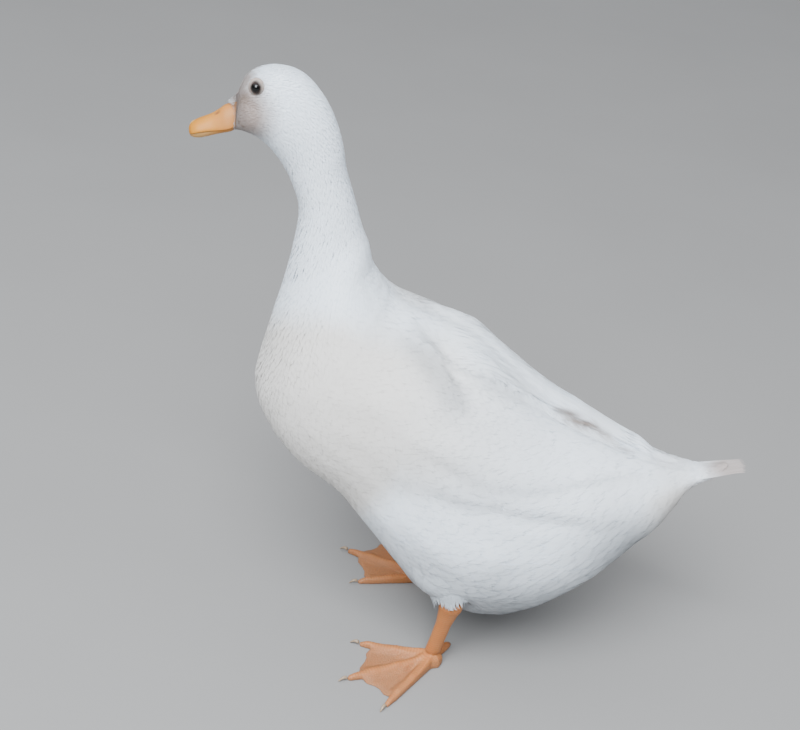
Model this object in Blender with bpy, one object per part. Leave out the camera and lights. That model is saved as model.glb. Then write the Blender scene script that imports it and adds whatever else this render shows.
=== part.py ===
"""A white domestic duck standing in mid step, life size.

Metres, +Z up.  The duck faces -Y and its left side is +X.  The origin lies on
the floor, under the middle of the duck's bounding box.
"""
import math

import bpy
import bmesh
import numpy as np
from mathutils import Matrix

# ---------------------------------------------------------------- driving sizes
CLEAR = 0.0003          # gap between neighbouring solids
RING = 28               # points round the body
LONG = 3                # rings between two named sections

# Sections of the body from the tail's tip to the root of the bill.  Each is
# given by the points where the back line and the belly line cross it (y, z),
# by its half width and by how square it is (2 is an ellipse).
SECTIONS = [
    # name         back y   back z   belly y  belly z   half    square
    ("tail_tip",   0.2795,  0.1866,  0.2798,  0.1846,   0.0080, 2.2),
    ("tail_end",   0.2725,  0.1848,  0.2734,  0.1812,   0.0115, 2.2),
    ("tail_fan",   0.2560,  0.1810,  0.2584,  0.1752,   0.0165, 2.3),
    ("tail_root",  0.2330,  0.1785,  0.2370,  0.1665,   0.0220, 2.3),
    ("rump",       0.2030,  0.1825,  0.2130,  0.1370,   0.0430, 2.3),
    ("vent",       0.1650,  0.1965,  0.1690,  0.0860,   0.0690, 2.3),
    ("paunch",     0.1230,  0.2150,  0.1060,  0.0395,   0.0850, 2.3),
    ("loin",       0.0890,  0.2380,  0.0470,  0.0455,   0.0915, 2.3),
    ("back",       0.0520,  0.2650,  0.0025,  0.0905,   0.0900, 2.3),
    ("shoulder",   0.0140,  0.2790,  -0.0370, 0.1350,   0.0860, 2.3),
    ("breast",     -0.0200, 0.2880,  -0.0785, 0.1635,   0.0790, 2.3),
    ("crop",       -0.0345, 0.3070,  -0.1085, 0.2050,   0.0640, 2.2),
    ("neck_root",  -0.0375, 0.3275,  -0.1050, 0.2490,   0.0445, 2.1),
    ("neck_low",   -0.0440, 0.3440,  -0.0950, 0.2960,   0.0290, 2.0),
    ("neck_mid",   -0.0510, 0.3650,  -0.0885, 0.3490,   0.0222, 2.0),
    ("neck_high",  -0.0600, 0.3880,  -0.0945, 0.3710,   0.0212, 2.0),
    ("nape",       -0.0655, 0.4100,  -0.1030, 0.3860,   0.0220, 2.0),
    ("poll",       -0.0755, 0.4320,  -0.1130, 0.3980,   0.0242, 2.1),
    ("crown",      -0.0940, 0.4530,  -0.1220, 0.4050,   0.0255, 2.2),
    ("brow",       -0.1160, 0.4575,  -0.1310, 0.4080,   0.0245, 2.2),
    ("forehead",   -0.1340, 0.4495,  -0.1370, 0.4085,   0.0195, 2.2),
    ("bill_root",  -0.1400, 0.4340,  -0.1400, 0.4080,   0.0125, 2.2),
]
NAMES = [row[0] for row in SECTIONS]
HEAD_TILT = math.radians(9.0)       # the left eye is turned up
BODY_PARTS = [("tail", "tail_tip", "tail_root"),
              ("trunk", "tail_root", "neck_root"),
              ("neck", "neck_root", "nape"),
              ("head", "nape", "bill_root")]

# Folded wing: a leaf-shaped pad that lies along the body.  Angles are measured
# round the body from the back line, positions count the sections above.
WING_FRONT = 10.0       # just behind the section called crop
WING_TIP = 3.1          # over the root of the tail
WING_ANGLE_FRONT = 54.0
WING_ANGLE_TIP = 13.0
WING_SPAN = 37.0        # half span, in degrees round the body
WING_PROUD = 0.0050     # how far it stands out of the body
WING_DEPTH = 0.0060     # how far it is sunk into the body
WING_RINGS = 22
WING_POINTS = 14

# Eye
EYE_RADIUS = 0.0052
EYE_PLACE = (0.0202, -0.1252, 0.4428)   # left eye's centre; the right one mirrors it
EYE_MIDDLE = (0.0, -0.1262, 0.4320)

# Bill, measured from the middle of its root along its own axis
BILL_ROOT = (0.0, -0.1402, 0.4160)
BILL_DROP = math.radians(19.0)
BILL_LENGTH = 0.0352
LOWER_BILL_WIDTH = 0.90
BILL_RING = 16
#           along    half     top      commissure  bottom
BILL_SHAPE = [
    (0.00,  0.0118,  0.0160,  -0.0050,  -0.0086),
    (0.22,  0.0108,  0.0098,  -0.0050,  -0.0088),
    (0.46,  0.0104,  0.0058,  -0.0044,  -0.0086),
    (0.70,  0.0116,  0.0050,  -0.0032,  -0.0078),
    (0.88,  0.0112,  0.0040,  -0.0028,  -0.0068),
    (0.97,  0.0080,  0.0026,  -0.0028,  -0.0056),
    (1.00,  0.0030,  0.0004,  -0.0030,  -0.0044),
]

# Legs: hock, ankle, heading of the middle toe outwards, by side (+1 is left)
LEGS = {
    "left": dict(side=1, hock=(0.0740, 0.0660, 0.0750), ankle=(0.0600, 0.0580, 0.0120),
                 thigh=(0.0500, 0.0420, 0.1150), heading=29.0),
    "right": dict(side=-1, hock=(-0.0600, 0.0520, 0.0680), ankle=(-0.0480, 0.0470, 0.0120),
                  thigh=(-0.0480, 0.0340, 0.1150), heading=19.0),
}
#        name      angle   length   half width
TOES = [("inner",  -37.0,  0.0600,  0.0036),
        ("middle",   0.0,  0.0740,  0.0040),
        ("outer",   33.0,  0.0690,  0.0037)]
HEEL = 0.0095           # radius of the heel pad
WEB = 0.0018            # thickness of the web
WEB_DIP = 0.80          # length of the web's margin against the toes beside it
TOE_HEIGHT = 0.0062
ANKLE_HEIGHT = 0.0120
HIND_TOE = 0.0170       # length of the small toe behind
CLAW_LENGTH = 0.0075

COLOURS = {
    "plumage": (0.82, 0.83, 0.82, 1.0),
    "bill": (0.78, 0.42, 0.13, 1.0),
    "leg": (0.62, 0.26, 0.10, 1.0),
    "eye": (0.015, 0.010, 0.008, 1.0),
    "claw": (0.55, 0.42, 0.30, 1.0),
}
ROUGHNESS = {"plumage": 0.80, "bill": 0.42, "leg": 0.55, "eye": 0.06, "claw": 0.40}


# ---------------------------------------------------------------- helpers
def material(name):
    found = bpy.data.materials.get(name)
    if found:
        return found
    made = bpy.data.materials.new(name)
    made.use_nodes = True
    shader = made.node_tree.nodes["Principled BSDF"]
    shader.inputs["Base Color"].default_value = COLOURS[name]
    shader.inputs["Roughness"].default_value = ROUGHNESS[name]
    shader.inputs["Metallic"].default_value = 0.0
    return made


def add_object(name, points, faces, look):
    """Makes one smooth closed object with its faces pointing out."""
    mesh = bpy.data.meshes.new(name)
    mesh.from_pydata([tuple(p) for p in points], [], faces)
    work = bmesh.new()
    work.from_mesh(mesh)
    bmesh.ops.recalc_face_normals(work, faces=work.faces)
    work.to_mesh(mesh)
    work.free()
    mesh.materials.append(material(look))
    mesh.shade_smooth()
    mesh.set_sharp_from_angle(angle=math.radians(50))
    made = bpy.data.objects.new(name, mesh)
    bpy.context.scene.collection.objects.link(made)
    return made


def loft(rings, first=None, last=None):
    """Joins equal rings with quads; each end closes on a point or its middle."""
    rings = [np.asarray(ring, float) for ring in rings]
    count = len(rings[0])
    points = np.vstack(rings + [(rings[0].mean(0) if first is None else first)[None],
                                (rings[-1].mean(0) if last is None else last)[None]])
    faces = []
    for r in range(len(rings) - 1):
        for c in range(count):
            d = (c + 1) % count
            faces.append((r * count + c, r * count + d, (r + 1) * count + d, (r + 1) * count + c))
    tail, top = len(rings) * count, (len(rings) - 1) * count
    for c in range(count):
        d = (c + 1) % count
        faces.append((tail, d, c))
        faces.append((tail + 1, top + c, top + d))
    return points, faces


def smooth_row(rows, place):
    """Reads a table of numbers between its rows with a Catmull-Rom curve."""
    rows = np.asarray(rows, float)
    place = min(max(place, 0.0), len(rows) - 1.0)
    k = min(int(place), len(rows) - 2)
    t = place - k
    p1, p2 = rows[k], rows[k + 1]
    p0 = rows[k - 1] if k > 0 else 2 * p1 - p2
    p3 = rows[k + 2] if k + 2 < len(rows) else 2 * p2 - p1
    return 0.5 * (2 * p1 + (p2 - p0) * t + (2 * p0 - 5 * p1 + 4 * p2 - p3) * t ** 2
                  + (3 * p1 - p0 - 3 * p2 + p3) * t ** 3)


def clear_of(target, neighbour):
    """Cuts the target back to a small gap from a neighbour that stays whole."""
    cutter = neighbour.copy()
    cutter.data = neighbour.data.copy()
    cutter.name = "gap_" + neighbour.name
    bpy.context.scene.collection.objects.link(cutter)
    swell = cutter.modifiers.new("Gap", "DISPLACE")
    swell.mid_level = 0.0
    swell.strength = CLEAR * 1.15
    cutter.hide_render = True
    cutter.display_type = "WIRE"
    cut = target.modifiers.new("Clear " + neighbour.name, "BOOLEAN")
    cut.operation = "DIFFERENCE"
    cut.solver = "EXACT"
    cut.object = cutter


# ---------------------------------------------------------------- body
def body_frame(place):
    """Middle, side and up directions, sizes of the body's section at a place."""
    back_y, back_z, belly_y, belly_z, half, square = smooth_row([row[1:] for row in SECTIONS], place)
    up = np.array([0.0, back_y - belly_y, back_z - belly_z])
    depth = np.linalg.norm(up) / 2
    up /= 2 * depth
    tilt = HEAD_TILT * min(max((place - NAMES.index("neck_high")) / 3.0, 0.0), 1.0)
    side = np.array([1.0, 0.0, 0.0])
    tilted_up = up * math.cos(tilt) - side * math.sin(tilt)
    tilted_side = side * math.cos(tilt) + up * math.sin(tilt)
    middle = np.array([0.0, (back_y + belly_y) / 2, (back_z + belly_z) / 2])
    return middle, tilted_side, tilted_up, max(half, 0.001), depth, square


def body_point(place, angle, lift=0.0):
    """Point of the body at an angle round it, 0 on the back, 90 on the left."""
    middle, side, up, half, depth, square = body_frame(place)
    s, c = math.sin(angle), math.cos(angle)
    across = (half + lift) * math.copysign(abs(s) ** (2 / square), s)
    along = (depth + lift) * math.copysign(abs(c) ** (2 / square), c)
    return middle + side * across + up * along


def body_ring(place, shift=0.0):
    ring = [body_point(place, 2 * math.pi * k / RING) for k in range(RING)]
    ahead = body_frame(min(place + 0.01, len(SECTIONS) - 1))[0]
    behind = body_frame(max(place - 0.01, 0))[0]
    _, side, up, _, _, _ = body_frame(place)
    axis = np.cross(up, side)
    if axis @ (ahead - behind) < 0:
        axis = -axis
    return np.array(ring) + axis * shift


def build_body():
    for name, start, end in BODY_PARTS:
        a, b = NAMES.index(start), NAMES.index(end)
        steps = (b - a) * LONG
        rings = []
        for k in range(steps + 1):
            shift = 0.0
            if k == 0 and a > 0:
                shift = CLEAR / 2
            if k == steps:
                shift = -CLEAR / 2
            rings.append(body_ring(a + (b - a) * k / steps, shift))
        points, faces = loft(rings)
        add_object(name, points, faces, "plumage")


# ---------------------------------------------------------------- wings
def build_wing(name, side):
    rings = []
    for r in range(WING_RINGS):
        u = (r + 0.35) / (WING_RINGS - 0.3)
        place = WING_FRONT + (WING_TIP - WING_FRONT) * u
        middle = WING_ANGLE_FRONT + (WING_ANGLE_TIP - WING_ANGLE_FRONT) * u ** 0.85
        span = WING_SPAN * math.sin(math.pi * u ** 0.62) ** 0.75 * (1 - 0.35 * u)
        swell = min(1.0, 3.0 * u) * min(1.0, 2.2 * (1 - u) + 0.35)
        ring = []
        for k in range(WING_POINTS):
            turn = 2 * math.pi * k / WING_POINTS
            c, s = math.cos(turn), math.sin(turn)
            across = math.copysign(abs(c) ** 0.8, c)
            angle = math.radians(middle + span * across)
            rise = (WING_PROUD if s > 0 else WING_DEPTH) * math.copysign(abs(s) ** 0.7, s)
            ring.append(body_point(place, side * angle, rise * swell))
        rings.append(ring)
    front = body_point(WING_FRONT, side * math.radians(WING_ANGLE_FRONT))
    tip = body_point(WING_TIP, side * math.radians(WING_ANGLE_TIP), 0.002)
    points, faces = loft(rings, front, tip)
    return add_object(name, points, faces, "plumage")


# ---------------------------------------------------------------- head
def head_frame():
    _, side, up, _, _, _ = body_frame(len(SECTIONS) - 1)
    return side, up


def build_bill(name, over):
    """One half of the bill: D-shaped sections along an axis that drops forward."""
    side, up = head_frame()
    ahead = np.array([0.0, -math.cos(BILL_DROP), -math.sin(BILL_DROP)])
    rise = np.cross(side, ahead)
    rise *= math.copysign(1.0, rise @ up)
    root = np.array(BILL_ROOT)
    rings = []
    steps = (len(BILL_SHAPE) - 1) * 2
    for k in range(steps + 1):
        along, half, top, seam, bottom = smooth_row(BILL_SHAPE, k / 2)
        wide = half if over else half * LOWER_BILL_WIDTH
        ring = []
        for j in range(BILL_RING):
            turn = 2 * math.pi * j / BILL_RING
            c, s = math.cos(turn), math.sin(turn)
            if over:
                height = seam + CLEAR / 2 + (top - seam) * max(s, 0.0)
            else:
                height = seam - CLEAR / 2 - (seam - bottom) * max(-s, 0.0)
            spot = root + ahead * along * BILL_LENGTH
            spot = spot + side * wide * math.copysign(abs(c) ** 0.85, c) + rise * height
            if k == 0:      # the root is cut square to meet the face
                spot = spot + ahead * ((root[1] - CLEAR) - spot[1]) / ahead[1]
            ring.append(spot)
        rings.append(ring)
    points, faces = loft(rings)
    return add_object(name, points, faces, "bill")


def build_eye(name, side):
    middle, place = np.array(EYE_MIDDLE), np.array(EYE_PLACE)
    across, up = head_frame()
    offset = place - middle
    centre = np.array([0.0, place[1], middle[2]]) + across * offset[0] * side + up * offset[2]
    work = bmesh.new()
    bmesh.ops.create_uvsphere(work, u_segments=14, v_segments=9, radius=EYE_RADIUS)
    bmesh.ops.translate(work, verts=work.verts, vec=tuple(centre))
    mesh = bpy.data.meshes.new(name)
    work.to_mesh(mesh)
    work.free()
    mesh.materials.append(material("eye"))
    mesh.shade_smooth()
    made = bpy.data.objects.new(name, mesh)
    bpy.context.scene.collection.objects.link(made)
    return made


# ---------------------------------------------------------------- legs
def tube(name, stops, look, points_round=12, level=None):
    """Lofts an oval tube through stops (centre, radius across, radius along).

    A level gives the last ring a flat end at that height."""
    centres = np.array([stop[0] for stop in stops], float)
    rings = []
    for k, (centre, wide, deep) in enumerate(stops):
        a, b = centres[max(k - 1, 0)], centres[min(k + 1, len(stops) - 1)]
        axis = (b - a) / np.linalg.norm(b - a)
        side = np.cross(axis, (0.0, 1.0, 0.0))
        side /= np.linalg.norm(side)
        fore = np.cross(side, axis)
        turns = [2 * math.pi * j / points_round for j in range(points_round)]
        rings.append([np.array(centre) + side * wide * math.cos(t) + fore * deep * math.sin(t) for t in turns])
    if level is not None:
        rings[-1] = [spot * np.array([1, 1, 0]) + np.array([0, 0, level]) for spot in rings[-1]]
    points, faces = loft(rings)
    return add_object(name, points, faces, look)


def build_thigh(side_name, leg):
    start, hock = np.array(leg["thigh"]), np.array(leg["hock"])
    stops = []
    for t, wide, deep in ((0.0, 0.012, 0.014), (0.15, 0.020, 0.023), (0.40, 0.023, 0.026), (0.68, 0.0195, 0.0215),
                          (0.88, 0.0140, 0.0155), (1.0, 0.0090, 0.0100)):
        stops.append((start + (hock - start) * t, wide, deep))
    return tube("thigh_" + side_name, stops, "plumage", 14)


def build_shank(side_name, leg):
    start, hock, ankle = (np.array(leg[key]) for key in ("thigh", "hock", "ankle"))
    into = (hock - start) / np.linalg.norm(hock - start)
    top = hock + into * CLEAR * 1.5
    low = ankle + np.array([0.0, 0.0, CLEAR])
    stops = [(top, 0.0072, 0.0085)]
    for t, wide, deep in ((0.10, 0.0078, 0.0098), (0.22, 0.0062, 0.0082), (0.45, 0.0050, 0.0064), (0.75, 0.0050, 0.0062),
                          (1.0, 0.0058, 0.0066)):
        stops.append((top + (low - top) * t, wide, deep))
    return tube("shank_" + side_name, stops, "leg", 12, low[2])


def toe_directions(leg):
    """Ground direction of each toe; the toes open outwards from the heading."""
    for name, angle, length, half in TOES:
        turn = math.radians(leg["heading"] + angle) * leg["side"]
        yield name, np.array([math.sin(turn), -math.cos(turn), 0.0]), length, half


def build_foot(side_name, leg):
    """One webbed foot as a solid of revolution-like fans round the ankle."""
    heel = np.array([leg["ankle"][0], leg["ankle"][1], 0.0])
    fans = []
    for k, (_, angle, length, half) in enumerate(TOES):
        spread = math.degrees(half / length)
        for f in (-1.0, -0.5, 0.0, 0.5, 1.0):
            fans.append((angle + spread * f, length * (1 - 0.05 * f * f) - (0.008 if abs(f) == 1 else 0.0)))
        if k < len(TOES) - 1:
            after, further = TOES[k + 1][1], TOES[k + 1][2]
            a, b = angle + spread, after - math.degrees(TOES[k + 1][3] / further)
            for f in (0.2, 0.4, 0.6, 0.8):
                chord = length + (further - length) * f
                dip = 1 - (1 - WEB_DIP) * (4 * f * (1 - f)) ** 0.6
                fans.append((a + (b - a) * f, chord * dip))
    first, final = fans[0][0], fans[-1][0]
    back = 360.0 - (final - first)
    for f in (0.10, 0.25, 0.42, 0.58, 0.75, 0.90):
        fans.append((final + back * f, HEEL))
    toes = list(toe_directions(leg))

    def height(spot):
        best = WEB
        for _, direction, length, half in toes:
            along = float(spot @ direction)
            off = np.linalg.norm(spot - direction * along)
            if along > 0 and off < half * 1.3:
                tall = TOE_HEIGHT * (1.25 - 0.55 * along / length)
                best = max(best, WEB + (tall - WEB) * math.sqrt(max(0.0, 1 - (off / (half * 1.3)) ** 2)))
        away = np.linalg.norm(spot) / (HEEL * 1.15)
        if away < 1:
            best = max(best, ANKLE_HEIGHT * (1 - away ** 2.2) ** 0.6)
        return best

    shares = (0.10, 0.22, 0.38, 0.56, 0.76, 0.92, 1.0)
    points, rows = [np.array([0, 0, ANKLE_HEIGHT]) + heel], []
    for share in shares:
        row = []
        for angle, reach in fans:
            turn = math.radians(leg["heading"] + angle) * leg["side"]
            spot = np.array([math.sin(turn), -math.cos(turn), 0.0]) * reach * share
            tall = height(spot) * (0.55 if share == 1.0 else 1.0)
            row.append(len(points))
            points.append(spot + heel + np.array([0, 0, max(tall, 0.0010)]))
        rows.append(row)
    low = []
    for index in rows[-1]:
        low.append(len(points))
        points.append(points[index] * np.array([1, 1, 0]))
    rows.append(low)
    points.append(heel)
    faces, count = [], len(fans)
    for c in range(count):
        d = (c + 1) % count
        faces.append((0, rows[0][c], rows[0][d]))
        for r in range(len(rows) - 1):
            faces.append((rows[r][c], rows[r + 1][c], rows[r + 1][d], rows[r][d]))
        faces.append((rows[-1][c], len(points) - 1, rows[-1][d]))
    return add_object("foot_" + side_name, points, faces, "leg")


def build_hind_toe(side_name, leg):
    turn = math.radians(leg["heading"] - 150.0) * leg["side"]
    ahead = np.array([math.sin(turn), -math.cos(turn), 0.0])
    start = np.array([leg["ankle"][0], leg["ankle"][1], 0.0])
    stops = []
    for t, radius in ((0.0, 0.0030), (0.3, 0.0036), (0.7, 0.0034), (1.0, 0.0020)):
        reach = HEEL + CLEAR * 2 + HIND_TOE * t
        stops.append((start + ahead * reach + np.array([0, 0, radius]), radius, radius))
    return tube("hind_toe_" + side_name, stops, "leg", 8)


def build_claws(side_name, leg):
    start = np.array([leg["ankle"][0], leg["ankle"][1], 0.0])
    for name, direction, length, _ in toe_directions(leg):
        stops = []
        for t, radius, rise in ((0.0, 0.0017, 0.0024), (0.5, 0.0013, 0.0021), (1.0, 0.0004, 0.0005)):
            reach = length + CLEAR + CLAW_LENGTH * t
            stops.append((start + direction * reach + np.array([0, 0, rise]), radius, radius))
        tube("claw_" + side_name + "_" + name, stops, "claw", 8)


# ---------------------------------------------------------------- build
for leftover in list(bpy.data.objects):
    bpy.data.objects.remove(leftover, do_unlink=True)

build_body()
trunk, head = bpy.data.objects["trunk"], bpy.data.objects["head"]
for wing_name, wing_side in (("wing_left", 1), ("wing_right", -1)):
    clear_of(trunk, build_wing(wing_name, wing_side))
for mandible, over in (("bill_upper", True), ("bill_lower", False)):
    build_bill(mandible, over)
for eye_name, eye_side in (("eye_left", 1), ("eye_right", -1)):
    clear_of(head, build_eye(eye_name, eye_side))
for side_name, leg in LEGS.items():
    thigh, shank = build_thigh(side_name, leg), build_shank(side_name, leg)
    clear_of(trunk, thigh)
    clear_of(trunk, shank)
    clear_of(thigh, shank)
    build_foot(side_name, leg)
    build_hind_toe(side_name, leg)
    build_claws(side_name, leg)

# The origin goes on the floor under the middle of the duck's box.
solids = [thing for thing in bpy.data.objects if not thing.hide_render]
corners = np.array([vertex.co for thing in solids for vertex in thing.data.vertices])
middle = (corners.min(axis=0) + corners.max(axis=0)) / 2
shift = Matrix.Translation((-middle[0], -middle[1], -corners[:, 2].min()))
for thing in bpy.data.objects:
    thing.data.transform(shift)
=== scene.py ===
import math

import bpy
import numpy as np
from mathutils import Matrix, Vector
from mathutils.bvhtree import BVHTree


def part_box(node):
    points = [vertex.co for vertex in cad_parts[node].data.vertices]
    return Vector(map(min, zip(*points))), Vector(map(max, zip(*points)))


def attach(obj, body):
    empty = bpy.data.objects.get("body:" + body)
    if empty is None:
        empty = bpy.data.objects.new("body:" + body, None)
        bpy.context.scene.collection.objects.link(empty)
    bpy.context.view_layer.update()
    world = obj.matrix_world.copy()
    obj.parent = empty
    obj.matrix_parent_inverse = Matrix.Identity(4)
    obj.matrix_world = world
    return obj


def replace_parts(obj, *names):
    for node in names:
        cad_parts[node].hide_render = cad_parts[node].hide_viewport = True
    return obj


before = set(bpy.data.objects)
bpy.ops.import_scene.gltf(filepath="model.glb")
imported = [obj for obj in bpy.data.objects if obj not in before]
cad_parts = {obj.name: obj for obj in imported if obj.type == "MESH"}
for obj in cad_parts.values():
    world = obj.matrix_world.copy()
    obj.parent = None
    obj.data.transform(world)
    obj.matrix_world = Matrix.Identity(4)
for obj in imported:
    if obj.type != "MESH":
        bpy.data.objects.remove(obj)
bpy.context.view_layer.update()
rng = np.random.default_rng(7)

fleshNodes = ["head", "neck", "trunk", "tail", "wing_left", "wing_right", "thigh_left", "thigh_right"]
legNodes = ["shank_left", "foot_left", "hind_toe_left", "shank_right", "foot_right", "hind_toe_right"]
sideSign = {"left": 1.0, "right": -1.0}
toeNames = ("inner", "middle", "outer")
middleX = -0.0096      # the plane between the left and the right half
fullTurn = 2 * math.pi


def selectOnly(active, *others):
    bpy.ops.object.select_all(action="DESELECT")
    for thing in (active, *others):
        thing.select_set(True)
    bpy.context.view_layer.objects.active = active


def copyOfNodes(name, nodes):
    # one editable mesh from CAD nodes; their loose triangles are welded first
    copies = []
    for node in nodes:
        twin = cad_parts[node].copy()
        twin.data = twin.data.copy()
        twin.parent = None
        bpy.context.scene.collection.objects.link(twin)
        copies.append(twin)
    selectOnly(*copies)
    bpy.ops.object.join()
    made = bpy.context.view_layer.objects.active
    made.name = made.data.name = name
    made.data.materials.clear()
    bpy.ops.object.mode_set(mode="EDIT")
    bpy.ops.mesh.select_all(action="SELECT")
    bpy.ops.mesh.remove_doubles(threshold=0.00002)
    bpy.ops.object.mode_set(mode="OBJECT")
    return made


def applied(thing, kind, **values):
    selectOnly(thing)
    step = thing.modifiers.new(kind, kind)
    for key, value in values.items():
        setattr(step, key, value)
    bpy.ops.object.modifier_apply(modifier=step.name)


def turnFacesOutward(thing):
    selectOnly(thing)
    bpy.ops.object.mode_set(mode="EDIT")
    bpy.ops.mesh.select_all(action="SELECT")
    bpy.ops.mesh.normals_make_consistent(inside=False)
    bpy.ops.object.mode_set(mode="OBJECT")


def pointsOf(thing, what="co"):
    values = np.empty(len(thing.data.vertices) * 3)
    thing.data.vertices.foreach_get(what, values)
    return values.reshape(-1, 3)


def setPoints(thing, points):
    thing.data.vertices.foreach_set("co", np.ascontiguousarray(points, dtype=np.float64).ravel())
    thing.data.update()


def setValues(mesh, name, values):
    layer = mesh.attributes.new(name, "FLOAT", "POINT")
    layer.data.foreach_set("value", np.asarray(values, dtype=np.float32))


def meshPiece(name, points, triangles, material, maps=(), values=()):
    # a mesh straight from arrays, with UV maps given per point and float values per point
    mesh = bpy.data.meshes.new(name)
    count = len(triangles)
    mesh.vertices.add(len(points))
    mesh.vertices.foreach_set("co", np.asarray(points, dtype=np.float32).ravel())
    mesh.loops.add(count * 3)
    corner = np.asarray(triangles, dtype=np.int32).ravel()
    mesh.loops.foreach_set("vertex_index", corner)
    mesh.polygons.add(count)
    mesh.polygons.foreach_set("loop_start", np.arange(0, count * 3, 3, dtype=np.int32))
    mesh.update(calc_edges=True)
    for mapName, uv in maps:
        layer = mesh.uv_layers.new(name=mapName)
        layer.data.foreach_set("uv", np.asarray(uv, dtype=np.float32)[corner].ravel())
    for valueName, value in values:
        setValues(mesh, valueName, value)
    mesh.validate()
    mesh.polygons.foreach_set("use_smooth", np.ones(len(mesh.polygons), dtype=bool))
    mesh.materials.append(material)
    piece = bpy.data.objects.new(name, mesh)
    bpy.context.scene.collection.objects.link(piece)
    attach(piece, "root")
    return piece


def between(a, b, f):
    return a + (b - a) * f


def smoothStep(low, high, x):
    f = np.clip((x - low) / (high - low), 0.0, 1.0)
    return f * f * (3 - 2 * f)


def unit(vectors, least=0.0):
    return vectors / (np.linalg.norm(vectors, axis=-1, keepdims=True) + least)


def readRows(rows, place):
    # smooth reading between the rows of a small table
    rows = np.asarray(rows, float)
    place = float(np.clip(place, 0, len(rows) - 1))
    k = min(int(place), len(rows) - 2)
    t = place - k
    b, c = rows[k], rows[k + 1]
    a = rows[k - 1] if k else 2 * b - c
    d = rows[k + 2] if k + 2 < len(rows) else 2 * c - b
    return 0.5 * (2 * b + (c - a) * t + (2 * a - 5 * b + 4 * c - d) * t ** 2
                  + (3 * b - a - 3 * c + d) * t ** 3)


def newMaterial(name, sockets):
    material = bpy.data.materials.new(name)
    material.use_nodes = True
    shader = material.node_tree.nodes["Principled BSDF"]
    for key, value in sockets.items():
        shader.inputs[key].default_value = value
    return material, material.node_tree, shader


def addNode(tree, kind, **values):
    node = tree.nodes.new(kind)
    for key, value in values.items():
        if key in node.inputs:
            node.inputs[key].default_value = value
        else:
            setattr(node, key, value)
    return node


def feed(tree, value, socket):
    # a plain value, or what another node gives
    if isinstance(value, (int, float, tuple)):
        socket.default_value = value
    else:
        tree.links.new(value, socket)


def maths(tree, operation, *values):
    node = addNode(tree, "ShaderNodeMath", operation=operation)
    for socket, value in zip(node.inputs, values):
        feed(tree, value, socket)
    return node.outputs[0]


def times(tree, first, second):
    return maths(tree, "MULTIPLY", first, second)


def mixColour(tree, factor, first, second):
    node = addNode(tree, "ShaderNodeMix", data_type="RGBA")
    for slot, value in ((0, factor), (6, first), (7, second)):
        feed(tree, value, node.inputs[slot])
    return node.outputs[2]


def ramp(tree, factor, stops):
    node = tree.nodes.new("ShaderNodeValToRGB")
    node.color_ramp.elements[0].position, node.color_ramp.elements[0].color = stops[0]
    node.color_ramp.elements[1].position, node.color_ramp.elements[1].color = stops[-1]
    for place, colour in stops[1:-1]:
        node.color_ramp.elements.new(place).color = colour
    tree.links.new(factor, node.inputs[0])
    return node.outputs[0]


def noiseAt(tree, coordinates, scale, detail=3.0, roughness=0.55):
    node = addNode(tree, "ShaderNodeTexNoise", Scale=scale, Detail=detail, Roughness=roughness)
    tree.links.new(coordinates, node.inputs["Vector"])
    return node.outputs[0]


def objectSpace(tree):
    return tree.nodes.new("ShaderNodeTexCoord").outputs["Object"]


def attribute(tree, name):
    return addNode(tree, "ShaderNodeAttribute", attribute_name=name).outputs["Fac"]


def addRelief(tree, shader, height, strength, distance=0.0003):
    relief = addNode(tree, "ShaderNodeBump", Strength=strength, Distance=distance)
    tree.links.new(height, relief.inputs["Height"])
    tree.links.new(relief.outputs[0], shader.inputs["Normal"])


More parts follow.
